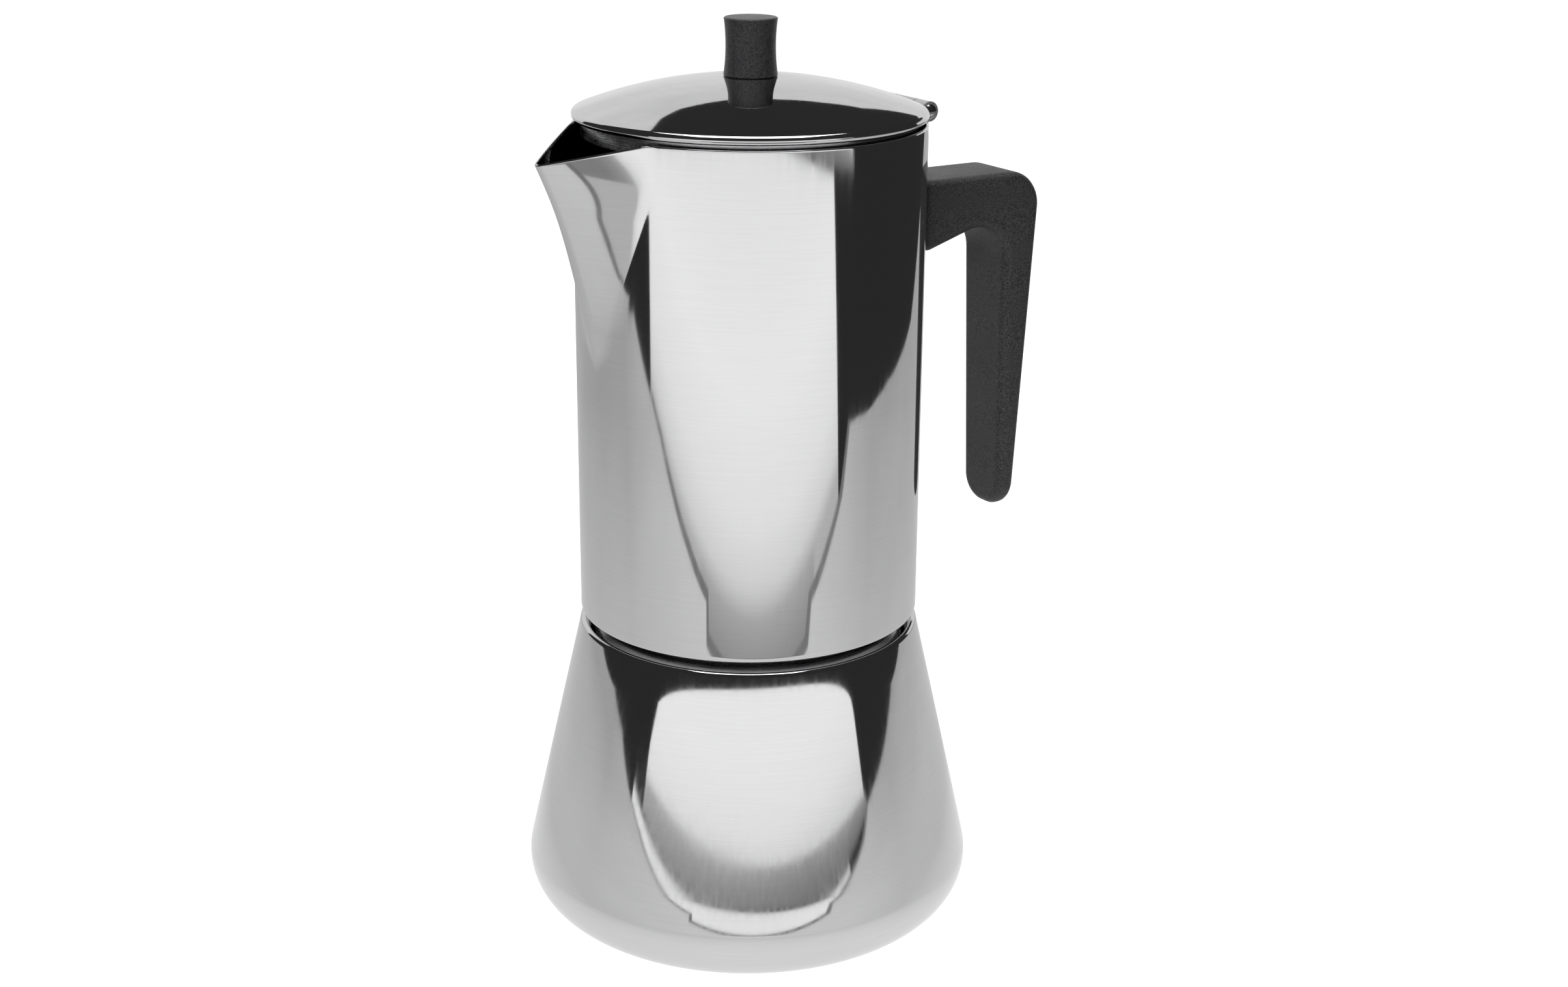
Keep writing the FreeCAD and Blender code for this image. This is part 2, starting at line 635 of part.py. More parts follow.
# ---- Lid: dome with rolled edge ----
bead_top = "(d.lid_rim_low + d.lid_bead)"
bead_mid = "(d.lid_rim_low + d.lid_bead / 2)"
bead_turn = "(d.lid_rim_radius - d.lid_bead * 0.6)"
dome_edge = "(d.lid_rim_radius - d.lid_bead)"
dome_ball = "((d.lid_rim_radius ^ 2 + d.lid_rise ^ 2) / (2 * d.lid_rise))"
inner_ball = "(%s - d.lid_sheet)" % dome_ball
dome_top = "(%s + d.lid_rise)" % bead_top


def dome_height(ball, radius):
    """Height of a dome surface over a given radius."""
    return "(%s - %s + sqrt(%s ^ 2 - %s ^ 2))" % (dome_top, dome_ball, ball, radius)


bead_over = dome_height(dome_ball, bead_turn)
bead_round = "((%s - d.lid_rim_low) / 2 * 1.04)" % bead_over
seat_top = dome_height(dome_ball, "d.knob_seat")
seat_under = dome_height(inner_ball, "d.knob_seat")
lid = new_body("lid_shell")
revolve(lid, [
    ("d.knob_seat", seat_under),
    ("d.knob_screw_radius", seat_under),
    ("d.knob_screw_radius", seat_top),
    ("d.knob_seat", seat_top, dome_ball, -1),
    (bead_turn, bead_over, bead_round, -1),
    (bead_turn, "d.lid_rim_low"),
    (dome_edge, bead_mid),
    (dome_edge, dome_height(inner_ball, dome_edge), inner_ball, 1)], "Dome")

# ---- Ring under the lid that drops inside the chamber ----
skirt_inner = "(d.skirt_radius - d.lid_sheet)"
turned("lid_skirt", [
    (skirt_inner, "d.skirt_low"),
    ("d.skirt_radius", "d.skirt_low"),
    ("d.skirt_radius", dome_height(inner_ball, "d.skirt_radius")),
    (skirt_inner, dome_height(inner_ball, skirt_inner))])

# ---- Knob with its insert, screw and washer ----
waist_drop = "(d.knob_curve - sqrt(d.knob_curve ^ 2 - d.knob_waist_height ^ 2))"
top_rise = "(d.knob_height - d.knob_waist_height)"
knob_foot = "(d.knob_waist + %s)" % waist_drop
knob_crown = "(d.knob_waist + d.knob_curve - sqrt(d.knob_curve ^ 2 - %s ^ 2))" % top_rise
knob = new_body("lid_knob")
knob_form = revolve(knob, [
    ("0", "d.insert_length"),
    ("d.insert_radius", "d.insert_length"),
    ("d.insert_radius", "0"),
    (knob_foot, "0", "d.knob_curve", -1),
    (knob_crown, "d.knob_height"),
    ("0", "d.knob_height")], "Grip")
crown_edge = circles_at(knob_form, knob_crown, "d.knob_height")
round_off(knob, knob_form, crown_edge, "0.5", "CrownRound")
lift(knob, seat_top)
insert = turned("knob_insert", [
    ("d.knob_screw_radius", "0"),
    ("d.insert_radius", "0"),
    ("d.insert_radius", "d.insert_length"),
    ("d.knob_screw_radius", "d.insert_length")])
lift(insert, seat_top)
knob_washer = turned("knob_washer", [
    ("d.knob_screw_radius", "-d.washer_sheet"),
    ("d.washer_radius", "-d.washer_sheet"),
    ("d.washer_radius", "0"),
    ("d.knob_screw_radius", "0")])
lift(knob_washer, seat_under)
knob_screw = new_body("knob_screw")
screw_form = revolve(knob_screw, [
    ("0", "-d.washer_sheet - d.screw_head_height"),
    ("d.screw_head_radius", "-d.washer_sheet - d.screw_head_height"),
    ("d.screw_head_radius", "-d.washer_sheet"),
    ("d.knob_screw_radius", "-d.washer_sheet"),
    ("d.knob_screw_radius", "d.lid_sheet + d.insert_length - 1"),
    ("0", "d.lid_sheet + d.insert_length - 1")], "Screw")
head_low = "(-d.washer_sheet - d.screw_head_height)"
head_edge = circles_at(screw_form, "d.screw_head_radius", head_low)
round_off(knob_screw, screw_form, head_edge, "1.2", "HeadRound")
driver = sketch_on(knob_screw, "XY_Plane", "DriverOutline", lift=head_low)
outline(driver, [("-2.4", "-0.4"), ("2.4", "-0.4"), ("2.4", "0.4"), ("-2.4", "0.4")])
cut(knob_screw, driver, "1.2", "DriverSlot", back=True)
lift(knob_screw, seat_under)

# ---- Hinge: fixed leaf on the wall, strap under the lid edge, pin ----
pin_hole = "(d.pin_radius + d.pin_clear)"
leaf = new_body("hinge_fixed_leaf")
leaf_sweep = revolve(leaf, [
    ("d.body_radius", "d.leaf_low"),
    ("d.body_radius + d.leaf_sheet", "d.leaf_low"),
    ("d.body_radius + d.leaf_sheet", "d.hinge_height - 5"),
    ("d.body_radius", "d.hinge_height - 5")], "WallPlate")
leaf_sweep.Midplane = True
leaf_sweep.Angle = 26
barrel = sketch_on(leaf, "XZ_Plane", "BarrelOutline")
ring(barrel, "d.hinge_distance", "d.hinge_height", "d.knuckle_radius")
pad(leaf, barrel, "d.hinge_width", "Barrel", middle=True)
web = sketch_on(leaf, "XZ_Plane", "WebOutline")
outline(web, [
    ("d.body_radius", "d.leaf_low + 4"),
    ("d.body_radius + d.leaf_sheet", "d.leaf_low + 4"),
    ("d.body_radius + d.leaf_sheet", "d.hinge_height - 5"),
    ("d.hinge_distance - 1.2", "d.hinge_height - 2.3"),
    ("d.hinge_distance - 2.2", "d.hinge_height - 1.2"),
    ("d.body_radius", "d.hinge_height - 4")])
pad(leaf, web, "d.hinge_width - 2", "Web", middle=True)
bore = sketch_on(leaf, "XZ_Plane", "PinHoleOutline")
ring(bore, "d.hinge_distance", "d.hinge_height", pin_hole)
cut(leaf, bore, "d.hinge_width + 10", "PinHole", middle=True)
gap = sketch_on(leaf, "XZ_Plane", "MiddleGapOutline")
outline(gap, [
    ("d.body_radius + 0.02", "d.hinge_height - 3.4"),
    ("d.hinge_distance + 6", "d.hinge_height - 3.4"),
    ("d.hinge_distance + 6", "d.hinge_height + 6"),
    ("d.body_radius + 0.02", "d.hinge_height + 6")])
cut(leaf, gap, "d.hinge_middle + 2 * d.knuckle_gap", "MiddleGap", middle=True)

strap = new_body("hinge_lid_strap")
strap_low = "d.hinge_height"
strap_high = "(d.hinge_height + d.strap_sheet)"
knuckle = sketch_on(strap, "XZ_Plane", "KnuckleOutline")
ring(knuckle, "d.hinge_distance", "d.hinge_height", "d.knuckle_radius")
pad(strap, knuckle, "d.hinge_middle", "Knuckle", middle=True)
tab = sketch_on(strap, "XZ_Plane", "TabOutline")
outline(tab, [
    ("d.skirt_radius + 0.05", strap_low),
    ("d.hinge_distance - 2.2", strap_low),
    ("d.hinge_distance - 2.2", strap_high),
    ("d.skirt_radius + 0.05", strap_high)])
pad(strap, tab, "d.hinge_middle", "Tab", middle=True)
strap_foot = revolve(strap, [
    ("d.skirt_radius", strap_low + " - 2.6"),
    ("d.skirt_radius + d.strap_sheet", strap_low + " - 2.6"),
    ("d.skirt_radius + d.strap_sheet", strap_high),
    ("d.skirt_radius", strap_high)], "WeldedFoot")
strap_foot.Midplane = True
strap_foot.Angle = value("2 * asin(d.hinge_middle / 2 / d.skirt_radius)")
strap_foot.setExpression("Angle", "2 * asin(d.hinge_middle / 2 / d.skirt_radius)")
strap_bore = sketch_on(strap, "XZ_Plane", "PinHoleOutline")
ring(strap_bore, "d.hinge_distance", "d.hinge_height", pin_hole)
cut(strap, strap_bore, "d.hinge_width", "PinHole", middle=True)

pin = new_body("hinge_pin")
pin_round = sketch_on(pin, "XZ_Plane", "PinOutline")
ring(pin_round, "0", "0", "d.pin_radius")
pad(pin, pin_round, "d.hinge_width + 0.6", "Pin", middle=True)
pin.Placement = Placement(
    Vector(value("d.hinge_distance"), 0, value("d.hinge_height")), Rotation())
pin.setExpression("Placement.Base.x", "d.hinge_distance")
pin.setExpression("Placement.Base.z", "d.hinge_height")

# ---- Handle: moulded grip ----
handle = new_body("handle_grip")
side = sketch_on(handle, "XZ_Plane", "SideOutline")
outer_slope = "atan((d.handle_reach - d.handle_foot_out) / (d.handle_top - d.handle_bottom))"
inner_slope = "atan((d.handle_foot_in - d.handle_throat) / (d.handle_top - d.handle_bottom))"
corner_r = "d.handle_outer_corner"
corner_x = "(d.handle_reach - %s / cos(%s) - %s * tan(%s))" % (
    corner_r, outer_slope, corner_r, outer_slope)
corner_end_x = "(%s + %s * cos(%s))" % (corner_x, corner_r, outer_slope)
corner_end_z = "(d.handle_top - %s - %s * sin(%s))" % (corner_r, corner_r, outer_slope)
throat_r = "d.handle_inner_corner"
throat_x = "(d.handle_throat - %s)" % throat_r
throat_z = "(d.arm_low + (%s - d.handle_root) * tan(d.arm_rise) - %s / cos(d.arm_rise))" % (
    throat_x, throat_r)
arm_end_x = "(%s - %s * sin(d.arm_rise))" % (throat_x, throat_r)
arm_end_z = "(%s + %s * cos(d.arm_rise))" % (throat_z, throat_r)
outline(side, [
    ("d.handle_root", "d.handle_top"),
    ("d.handle_root", "d.arm_low"),
    (arm_end_x, arm_end_z, throat_r, -1),
    ("d.handle_throat", throat_z),
    ("d.handle_foot_in", "d.handle_bottom - 5"),
    ("d.handle_foot_out", "d.handle_bottom - 5"),
    (corner_end_x, corner_end_z, corner_r, 1),
    (corner_x, "d.handle_top")])
pad(handle, side, "2 * d.handle_half_top + 4", "Side", middle=True)
front = sketch_on(handle, "YZ_Plane", "FrontOutline")
end_r = "d.handle_end_round"
end_z = "(d.handle_bottom + %s)" % end_r
outline(front, [
    ("-d.handle_half_top", "d.handle_top + 1"),
    ("-d.handle_half_low", end_z, end_r, 1),
    ("-d.handle_half_low + " + end_r, "d.handle_bottom"),
    ("d.handle_half_low - " + end_r, "d.handle_bottom", end_r, 1),
    ("d.handle_half_low", end_z),
    ("d.handle_half_top", "d.handle_top + 1")])
outline(front, [
    ("-40", "d.handle_bottom - 30"),
    ("40", "d.handle_bottom - 30"),
    ("40", "d.handle_top + 30"),
    ("-40", "d.handle_top + 30")])
cut(handle, front, "200", "Front", back=True)


def long_edges(feature, root):
    """Edges around the two broad sides, without those at the root end."""
    doc.recompute()
    names = []
    for number, edge in enumerate(feature.Shape.Edges, 1):
        box = edge.BoundBox
        at_root = box.XMax < value(root) + 0.01
        crossing = box.YMin < -1 and box.YMax > 1
        if not at_root and not crossing:
            names.append("Edge%d" % number)
    return names


front_cut = handle.Tip
bevel = handle.newObject("PartDesign::Chamfer", "LongBevel")
bevel.Base = (front_cut, long_edges(front_cut, "d.handle_root"))
bevel.Size = value("d.handle_chamfer")
bevel.setExpression("Size", "d.handle_chamfer")
slot_half = "(d.tongue_width / 2 + d.slot_clear)"
tongue_slot = sketch_on(handle, "YZ_Plane", "TongueSlotOutline", lift="d.handle_root")
outline(tongue_slot, [
    ("-" + slot_half, "d.tongue_low - d.slot_clear"),
    (slot_half, "d.tongue_low - d.slot_clear"),
    (slot_half, "d.tongue_low + d.tongue_thick + d.slot_clear"),
    ("-" + slot_half, "d.tongue_low + d.tongue_thick + d.slot_clear")])
slot_length = "(d.tongue_end - d.handle_root + 1)"
cut(handle, tongue_slot, slot_length, "TongueSlot", back=True)
screw_way = sketch_on(handle, "XY_Plane", "ScrewHoleOutline", lift="d.tongue_low + 1")
ring(screw_way, "d.handle_screw_at", "0", "d.handle_screw_radius + 0.3")
cut(handle, screw_way, "20", "ScrewHole")
head_seat = "(d.tongue_low - 2.2)"
head_way = sketch_on(handle, "XY_Plane", "HeadHoleOutline", lift=head_seat)
ring(head_way, "d.handle_screw_at", "0", "d.washer_radius + 0.4")
cut(handle, head_way, "20", "HeadHole")

# ---- Handle bracket: saddle on the wall with a tongue in the handle ----
bracket = new_body("handle_bracket")
saddle = revolve(bracket, [
    ("d.body_radius", "d.saddle_low"),
    ("d.body_radius + d.saddle_sheet", "d.saddle_low"),
    ("d.body_radius + d.saddle_sheet", "d.saddle_high"),
    ("d.body_radius", "d.saddle_high")], "Saddle")
saddle.Midplane = True
saddle.Angle = value("2 * d.saddle_half_angle")
saddle.setExpression("Angle", "2 * d.saddle_half_angle")
tongue = sketch_on(bracket, "XY_Plane", "TongueOutline", lift="d.tongue_low")
outline(tongue, [
    ("d.body_radius + 0.3", "-d.tongue_width / 2"),
    ("d.tongue_end", "-d.tongue_width / 2"),
    ("d.tongue_end", "d.tongue_width / 2"),
    ("d.body_radius + 0.3", "d.tongue_width / 2")])
pad(bracket, tongue, "d.tongue_thick", "Tongue")
screw_hole = sketch_on(bracket, "XY_Plane", "ScrewHoleOutline", lift="d.tongue_low - 1")
ring(screw_hole, "d.handle_screw_at", "0", "d.handle_screw_radius")
cut(bracket, screw_hole, "d.tongue_thick + 2", "ScrewHole", back=True)

# ---- Screw and washer that clamp the handle to the tongue from below ----


def under_handle(body):
    """Stand a body at the screw seat under the arm."""
    body.Placement = Placement(
        Vector(value("d.handle_screw_at"), 0, value(head_seat)), Rotation())
    body.setExpression("Placement.Base.x", "d.handle_screw_at")
    body.setExpression("Placement.Base.z", head_seat)


handle_washer = turned("handle_washer", [
    ("d.handle_screw_radius", "-d.washer_sheet"),
    ("d.washer_radius", "-d.washer_sheet"),
    ("d.washer_radius", "0"),
    ("d.handle_screw_radius", "0")])
under_handle(handle_washer)
handle_screw = new_body("handle_screw")
handle_screw_form = revolve(handle_screw, [
    ("0", head_low),
    ("d.screw_head_radius", head_low),
    ("d.screw_head_radius", "-d.washer_sheet"),
    ("d.handle_screw_radius", "-d.washer_sheet"),
    ("d.handle_screw_radius", "2.2 + d.tongue_thick"),
    ("0", "2.2 + d.tongue_thick")], "Screw")
handle_head_edge = circles_at(handle_screw_form, "d.screw_head_radius", head_low)
round_off(handle_screw, handle_screw_form, handle_head_edge, "1.2", "HeadRound")
handle_driver = sketch_on(handle_screw, "XY_Plane", "DriverOutline", lift=head_low)
outline(handle_driver, [("-2.4", "-0.4"), ("2.4", "-0.4"), ("2.4", "0.4"), ("-2.4", "0.4")])
cut(handle_screw, handle_driver, "1.2", "DriverSlot", back=True)
under_handle(handle_screw)

# ---- Safety valve: brass body with hexagon, shank and spring room ----
hex_low = "d.valve_washer"
hex_high = "(d.valve_washer + d.valve_hex_height)"
barrel_top = "(%s + d.valve_length)" % hex_high
cap_low = "(%s - d.valve_cap_sheet)" % barrel_top
valve_body = new_body("valve_body")
flats = sketch_on(valve_body, "XY_Plane", "HexagonOutline", lift=hex_low)
hexagon(flats, "d.valve_hex")
pad(valve_body, flats, "d.valve_hex_height", "Hexagon")
revolve(valve_body, [
    ("0", "-d.valve_inside"),
    ("d.valve_shank", "-d.valve_inside"),
    ("d.valve_shank", hex_low + " + 0.5"),
    ("d.valve_barrel", hex_low + " + 0.5"),
    ("d.valve_barrel", barrel_top),
    ("0", barrel_top)], "ShankAndBarrel")
revolve(valve_body, [
    ("0", "-d.valve_inside - 1"),
    ("d.valve_bore", "-d.valve_inside - 1"),
    ("d.valve_bore", hex_high),
    ("d.valve_chamber", hex_high),
    ("d.valve_chamber", barrel_top + " + 1"),
    ("0", barrel_top + " + 1")], "SteamWay", "PartDesign::Groove")
at_valve(valve_body)
valve_washer = turned("valve_washer", [
    ("d.valve_shank", "0"),
    ("d.valve_hex / 2", "0"),
    ("d.valve_hex / 2", "d.valve_washer"),
    ("d.valve_shank", "d.valve_washer")])
at_valve(valve_washer)
nut = new_body("valve_nut")
nut_top = "(-d.boiler_wall - 0.5)"
nut_flats = sketch_on(nut, "XY_Plane", "HexagonOutline", lift=nut_top + " - d.valve_nut_height")
hexagon(nut_flats, "d.valve_hex - 1")
pad(nut, nut_flats, "d.valve_nut_height", "Hexagon")
nut_hole = sketch_on(nut, "XY_Plane", "HoleOutline")
ring(nut_hole, "0", "0", "d.valve_shank")
cut(nut, nut_hole, "40", "Hole", middle=True)
at_valve(nut)
plate_top = "(%s + d.poppet_plate)" % hex_high
poppet = turned("valve_poppet", [
    ("0", hex_high),
    ("d.poppet_radius", hex_high),
    ("d.poppet_radius", plate_top),
    ("d.poppet_stem", plate_top),
    ("d.poppet_stem", barrel_top + " + d.poppet_out"),
    ("0", barrel_top + " + d.poppet_out")])
at_valve(poppet)
valve_cap = turned("valve_cap", [
    ("d.poppet_stem + 0.25", cap_low),
    ("d.valve_chamber", cap_low),
    ("d.valve_chamber", barrel_top),
    ("d.poppet_stem + 0.25", barrel_top)])
at_valve(valve_cap)
spring = new_body("valve_spring")
spring_low = "(%s + d.spring_wire)" % plate_top
spring_room = "(%s - %s - 2 * d.spring_wire)" % (cap_low, plate_top)
wire = sketch_on(spring, "XZ_Plane", "WireOutline")
ring(wire, "d.spring_coil", spring_low, "d.spring_wire")
coil = spring.newObject("PartDesign::AdditiveHelix", "Coil")
coil.Profile = wire
coil.ReferenceAxis = (wire, ["V_Axis"])
coil.Mode = "height-turns-angle"
coil.Height = value(spring_room)
coil.setExpression("Height", spring_room)
coil.Turns = value("d.spring_turns")
coil.setExpression("Turns", "d.spring_turns")
at_valve(spring)

# ---- Check every piece and write it ----
doc.recompute()
for item in doc.Objects:
    if "Invalid" in item.State or "Error" in item.State:
        raise RuntimeError("%s did not build: %s" % (item.Label, item.State))
pieces = [item for item in doc.Objects if item.TypeId == "PartDesign::Body"]
for piece in pieces:
    shape = piece.Shape
    if shape.isNull() or not shape.isValid():
        raise RuntimeError("%s has no valid shape" % piece.Label)
    shape.exportStep("parts/%s.step" % piece.Label)
    print(piece.Label, len(shape.Solids), round(shape.Volume))
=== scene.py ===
import bpy
import bmesh
import math
from mathutils import Matrix, Vector


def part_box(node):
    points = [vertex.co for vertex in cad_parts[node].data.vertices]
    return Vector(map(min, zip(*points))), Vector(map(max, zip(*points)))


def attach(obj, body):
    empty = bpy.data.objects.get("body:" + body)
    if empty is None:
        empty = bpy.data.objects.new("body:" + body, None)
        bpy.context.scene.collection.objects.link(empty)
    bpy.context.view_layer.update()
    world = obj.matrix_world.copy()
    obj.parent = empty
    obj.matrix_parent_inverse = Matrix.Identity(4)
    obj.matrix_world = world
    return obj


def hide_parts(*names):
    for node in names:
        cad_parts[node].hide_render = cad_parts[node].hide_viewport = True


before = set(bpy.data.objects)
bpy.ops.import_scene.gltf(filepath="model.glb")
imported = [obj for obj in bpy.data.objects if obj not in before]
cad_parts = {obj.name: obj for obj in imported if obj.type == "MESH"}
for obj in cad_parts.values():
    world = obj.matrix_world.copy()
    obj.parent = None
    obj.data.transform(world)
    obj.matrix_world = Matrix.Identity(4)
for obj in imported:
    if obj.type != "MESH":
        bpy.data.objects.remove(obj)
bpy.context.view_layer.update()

# Stove-top espresso pot in polished stainless steel.  Metres, +Z up, +X towards the
# handle, -X towards the spout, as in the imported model.

# ---- Boiler shell ----
# The lower vessel: a cone of stainless steel sheet, deep drawn with a rounded foot and
# a plain neck, then polished bright.  Everything else screws or welds on to it.
MM = 0.001
scene = bpy.context.scene


def arc(x, z, radius, start, end, steps):
    """Points of an arc about (x, z) in millimetres, from one angle to another in degrees."""
    points = []
    for i in range(steps + 1):
        turn = math.radians(start + (end - start) * i / steps)
        points.append((x + radius * math.cos(turn), z + radius * math.sin(turn)))
    return points


def finished(name, shape, angle=30):
    """Object from a bmesh, with its doubles merged, normals outwards and soft shading."""
    bmesh.ops.remove_doubles(shape, verts=shape.verts, dist=2e-6)
    bmesh.ops.recalc_face_normals(shape, faces=shape.faces)
    mesh = bpy.data.meshes.new(name)
    shape.to_mesh(mesh)
    shape.free()
    mesh.shade_smooth()
    mesh.set_sharp_from_angle(angle=math.radians(angle))
    piece = bpy.data.objects.new(name, mesh)
    scene.collection.objects.link(piece)
    return piece


def turned(name, outline, steps=288, angle=30):
    """Closed outline of (radius, height) in millimetres, turned about the pot's axis."""
    shape = bmesh.new()
    rings = []
    for radius, height in outline:
        if radius < 1e-6:
            rings.append([shape.verts.new((0, 0, height * MM))])
            continue
        ring = []
        for i in range(steps):
            turn = math.tau * i / steps
            place = (radius * MM * math.cos(turn), radius * MM * math.sin(turn), height * MM)
            ring.append(shape.verts.new(place))
        rings.append(ring)
    count = len(rings)
    for k in range(count):
        low, high = rings[k], rings[(k + 1) % count]
        if len(low) == 1 and len(high) == 1:
            continue
        for i in range(steps):
            j = (i + 1) % steps
            corners = [low[i % len(low)], low[j % len(low)],
                       high[j % len(high)], high[i % len(high)]]
            corners = [c for n, c in enumerate(corners) if c not in corners[:n]]
            shape.faces.new(corners)
    return finished(name, shape, angle)


def nodes_of(material):
    """Node tree of a new material, with one Principled shader joined to its output."""
    material.use_nodes = True
    tree = material.node_tree
    tree.nodes.clear()
    output = tree.nodes.new("ShaderNodeOutputMaterial")
    shader = tree.nodes.new("ShaderNodeBsdfPrincipled")
    tree.links.new(shader.outputs["BSDF"], output.inputs["Surface"])
    return tree, shader


def grain(tree, stretch, scale, detail=3.0, roughness=0.55):
    """Noise in object space, stretched by a Mapping."""
    place = tree.nodes.new("ShaderNodeTexCoord")
    mapping = tree.nodes.new("ShaderNodeMapping")
    mapping.inputs["Scale"].default_value = stretch
    noise = tree.nodes.new("ShaderNodeTexNoise")
    noise.inputs["Scale"].default_value = scale
    noise.inputs["Detail"].default_value = detail
    noise.inputs["Roughness"].default_value = roughness
    tree.links.new(place.outputs["Object"], mapping.inputs["Vector"])
    tree.links.new(mapping.outputs["Vector"], noise.inputs["Vector"])
    return noise.outputs["Fac"]


def spread(tree, source, low, high, from_low=0.3, from_high=0.7):
    """A value spread over a range; noise mostly lies between 0.3 and 0.7."""
    node = tree.nodes.new("ShaderNodeMapRange")
    node.inputs["From Min"].default_value = from_low
    node.inputs["From Max"].default_value = from_high
    node.inputs["To Min"].default_value = low
    node.inputs["To Max"].default_value = high
    tree.links.new(source, node.inputs["Value"])
    return node.outputs["Result"]


def added(tree, first, second):
    """Sum of two values."""
    node = tree.nodes.new("ShaderNodeMath")
    node.operation = "ADD"
    tree.links.new(first, node.inputs[0])
    tree.links.new(second, node.inputs[1])
    return node.outputs["Value"]


def tinted(tree, source, dark, light):
    """A value turned into a colour between two greys."""
    ramp = tree.nodes.new("ShaderNodeValToRGB")
    ramp.color_ramp.elements[0].position = 0.3
    ramp.color_ramp.elements[0].color = (*dark, 1)
    ramp.color_ramp.elements[1].position = 0.7
    ramp.color_ramp.elements[1].color = (*light, 1)
    tree.links.new(source, ramp.inputs["Fac"])
    return ramp.outputs["Color"]


def bumped(tree, shader, source, distance):
    """Bump from a value, with its depth in metres."""
    bump = tree.nodes.new("ShaderNodeBump")
    bump.inputs["Strength"].default_value = 1.0
    bump.inputs["Distance"].default_value = distance
    tree.links.new(source, bump.inputs["Height"])
    tree.links.new(bump.outputs["Normal"], shader.inputs["Normal"])


def polished_steel(name, rough_low, rough_high, dark, light, drawn, turned_lines):
    """Bright stainless steel: upright drawing streaks under faint polishing lines that
    run round the piece."""
    material = bpy.data.materials.new(name)
    tree, shader = nodes_of(material)
    shader.inputs["Metallic"].default_value = 1.0
    upright = grain(tree, (1.0, 1.0, 0.05), 900, 3.0)
    around = grain(tree, (0.02, 0.02, 1.0), 2600, 3.0)
    cloud = grain(tree, (1.0, 1.0, 0.5), 38, 2.0)
    rough = added(tree, spread(tree, upright, 0.0, rough_high - rough_low),
                  spread(tree, cloud, rough_low, rough_low + 0.02))
    tree.links.new(rough, shader.inputs["Roughness"])
    tree.links.new(tinted(tree, around, dark, light), shader.inputs["Base Color"])
    height = added(tree, spread(tree, upright, 0, drawn), spread(tree, around, 0, turned_lines))
    bumped(tree, shader, height, 1.0)
    return material


bright_steel = polished_steel(
    "polished_sheet_steel", 0.03, 0.05, (0.645, 0.645, 0.65), (0.668, 0.668, 0.673),
    0.12e-7, 0.10e-7)
cone_angle = 12.85
foot_round = 13.6
foot_centre = (48.113, foot_round)
cone_foot, cone_head = (61.37, 16.62), (46.32, 82.6)
shell_outline = (
    [(0, 0), (20, 0), (38, 0)]
    + arc(*foot_centre, foot_round, -90, cone_angle, 30)
    + [(cone_foot[0] - (cone_foot[0] - cone_head[0]) * k / 8,
        cone_foot[1] + (cone_head[1] - cone_foot[1]) * k / 8) for k in range(1, 8)]
    + arc(44.883, 82.6, 1.4, cone_angle, 90, 10)
    + [(41.0, 84.0), (41.0, 98.0), (40.0, 98.0), (40.0, 83.0), (45.202, 83.0)]
    + arc(*foot_centre, foot_round - 1.0, cone_angle, -90, 24)
    + [(20, 1.0), (0, 1.0)])
boiler = turned("boiler_vessel", shell_outline, 360, 35)
boiler.data.materials.append(bright_steel)
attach(boiler, "boiler")
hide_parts("boiler_shell")

# ---- Threaded ring of the boiler ----
# A turned stainless ring welded round the neck, with the outer screw thread that the
# chamber screws down on.  Left as machined, so duller than the polished sheet.


def machined_steel(name, rough, dark, light, lines):
    """Stainless steel with fine turning lines round the axis."""
    material = bpy.data.materials.new(name)
    tree, shader = nodes_of(material)
    shader.inputs["Metallic"].default_value = 1.0
    around = grain(tree, (0.03, 0.03, 1.0), 3800, 2.0)
    stain = grain(tree, (1, 1, 1), 90, 3.0)
    tree.links.new(tinted(tree, stain, dark, light), shader.inputs["Base Color"])
    tree.links.new(spread(tree, around, rough - 0.06, rough + 0.08), shader.inputs["Roughness"])
    bumped(tree, shader, around, lines)
    return material


def smoothed_copy(node, name, material, angle=35):
    """The frame's own solid as a clean piece: merged, smooth where it is round."""
    shape = bmesh.new()
    shape.from_mesh(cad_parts[node].data)
    bmesh.ops.remove_doubles(shape, verts=shape.verts, dist=2e-6)
    mesh = bpy.data.meshes.new(name)
    shape.to_mesh(mesh)
    shape.free()
    mesh.materials.clear()
    mesh.materials.append(material)
    for face in mesh.polygons:
        face.material_index = 0
    mesh.shade_smooth()
    mesh.set_sharp_from_angle(angle=math.radians(angle))
    piece = bpy.data.objects.new(name, mesh)
    scene.collection.objects.link(piece)
    return piece


satin_steel = machined_steel(
    "turned_steel", 0.26, (0.42, 0.42, 0.43), (0.56, 0.56, 0.57), 2.5e-6)
neck_thread = smoothed_copy("boiler_thread_ring", "neck_thread", satin_steel)
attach(neck_thread, "boiler")
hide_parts("boiler_thread_ring")

# ---- Safety valve ----
# A turned brass valve screwed through the cone, sealed outside by a fibre washer and
# held inside by a lock nut.  A plate on a stem is pressed on its seat by a spring.


def turned_brass(name, dark, light):
    """Machined brass, a little tarnished."""
    material = bpy.data.materials.new(name)
    tree, shader = nodes_of(material)
    shader.inputs["Metallic"].default_value = 1.0
    tarnish = grain(tree, (1, 1, 1), 260, 4.0)
    fine = grain(tree, (1, 1, 1), 4200, 2.0)
    tree.links.new(tinted(tree, tarnish, dark, light), shader.inputs["Base Color"])
    tree.links.new(spread(tree, tarnish, 0.34, 0.2), shader.inputs["Roughness"])
    bumped(tree, shader, fine, 2e-6)
    return material


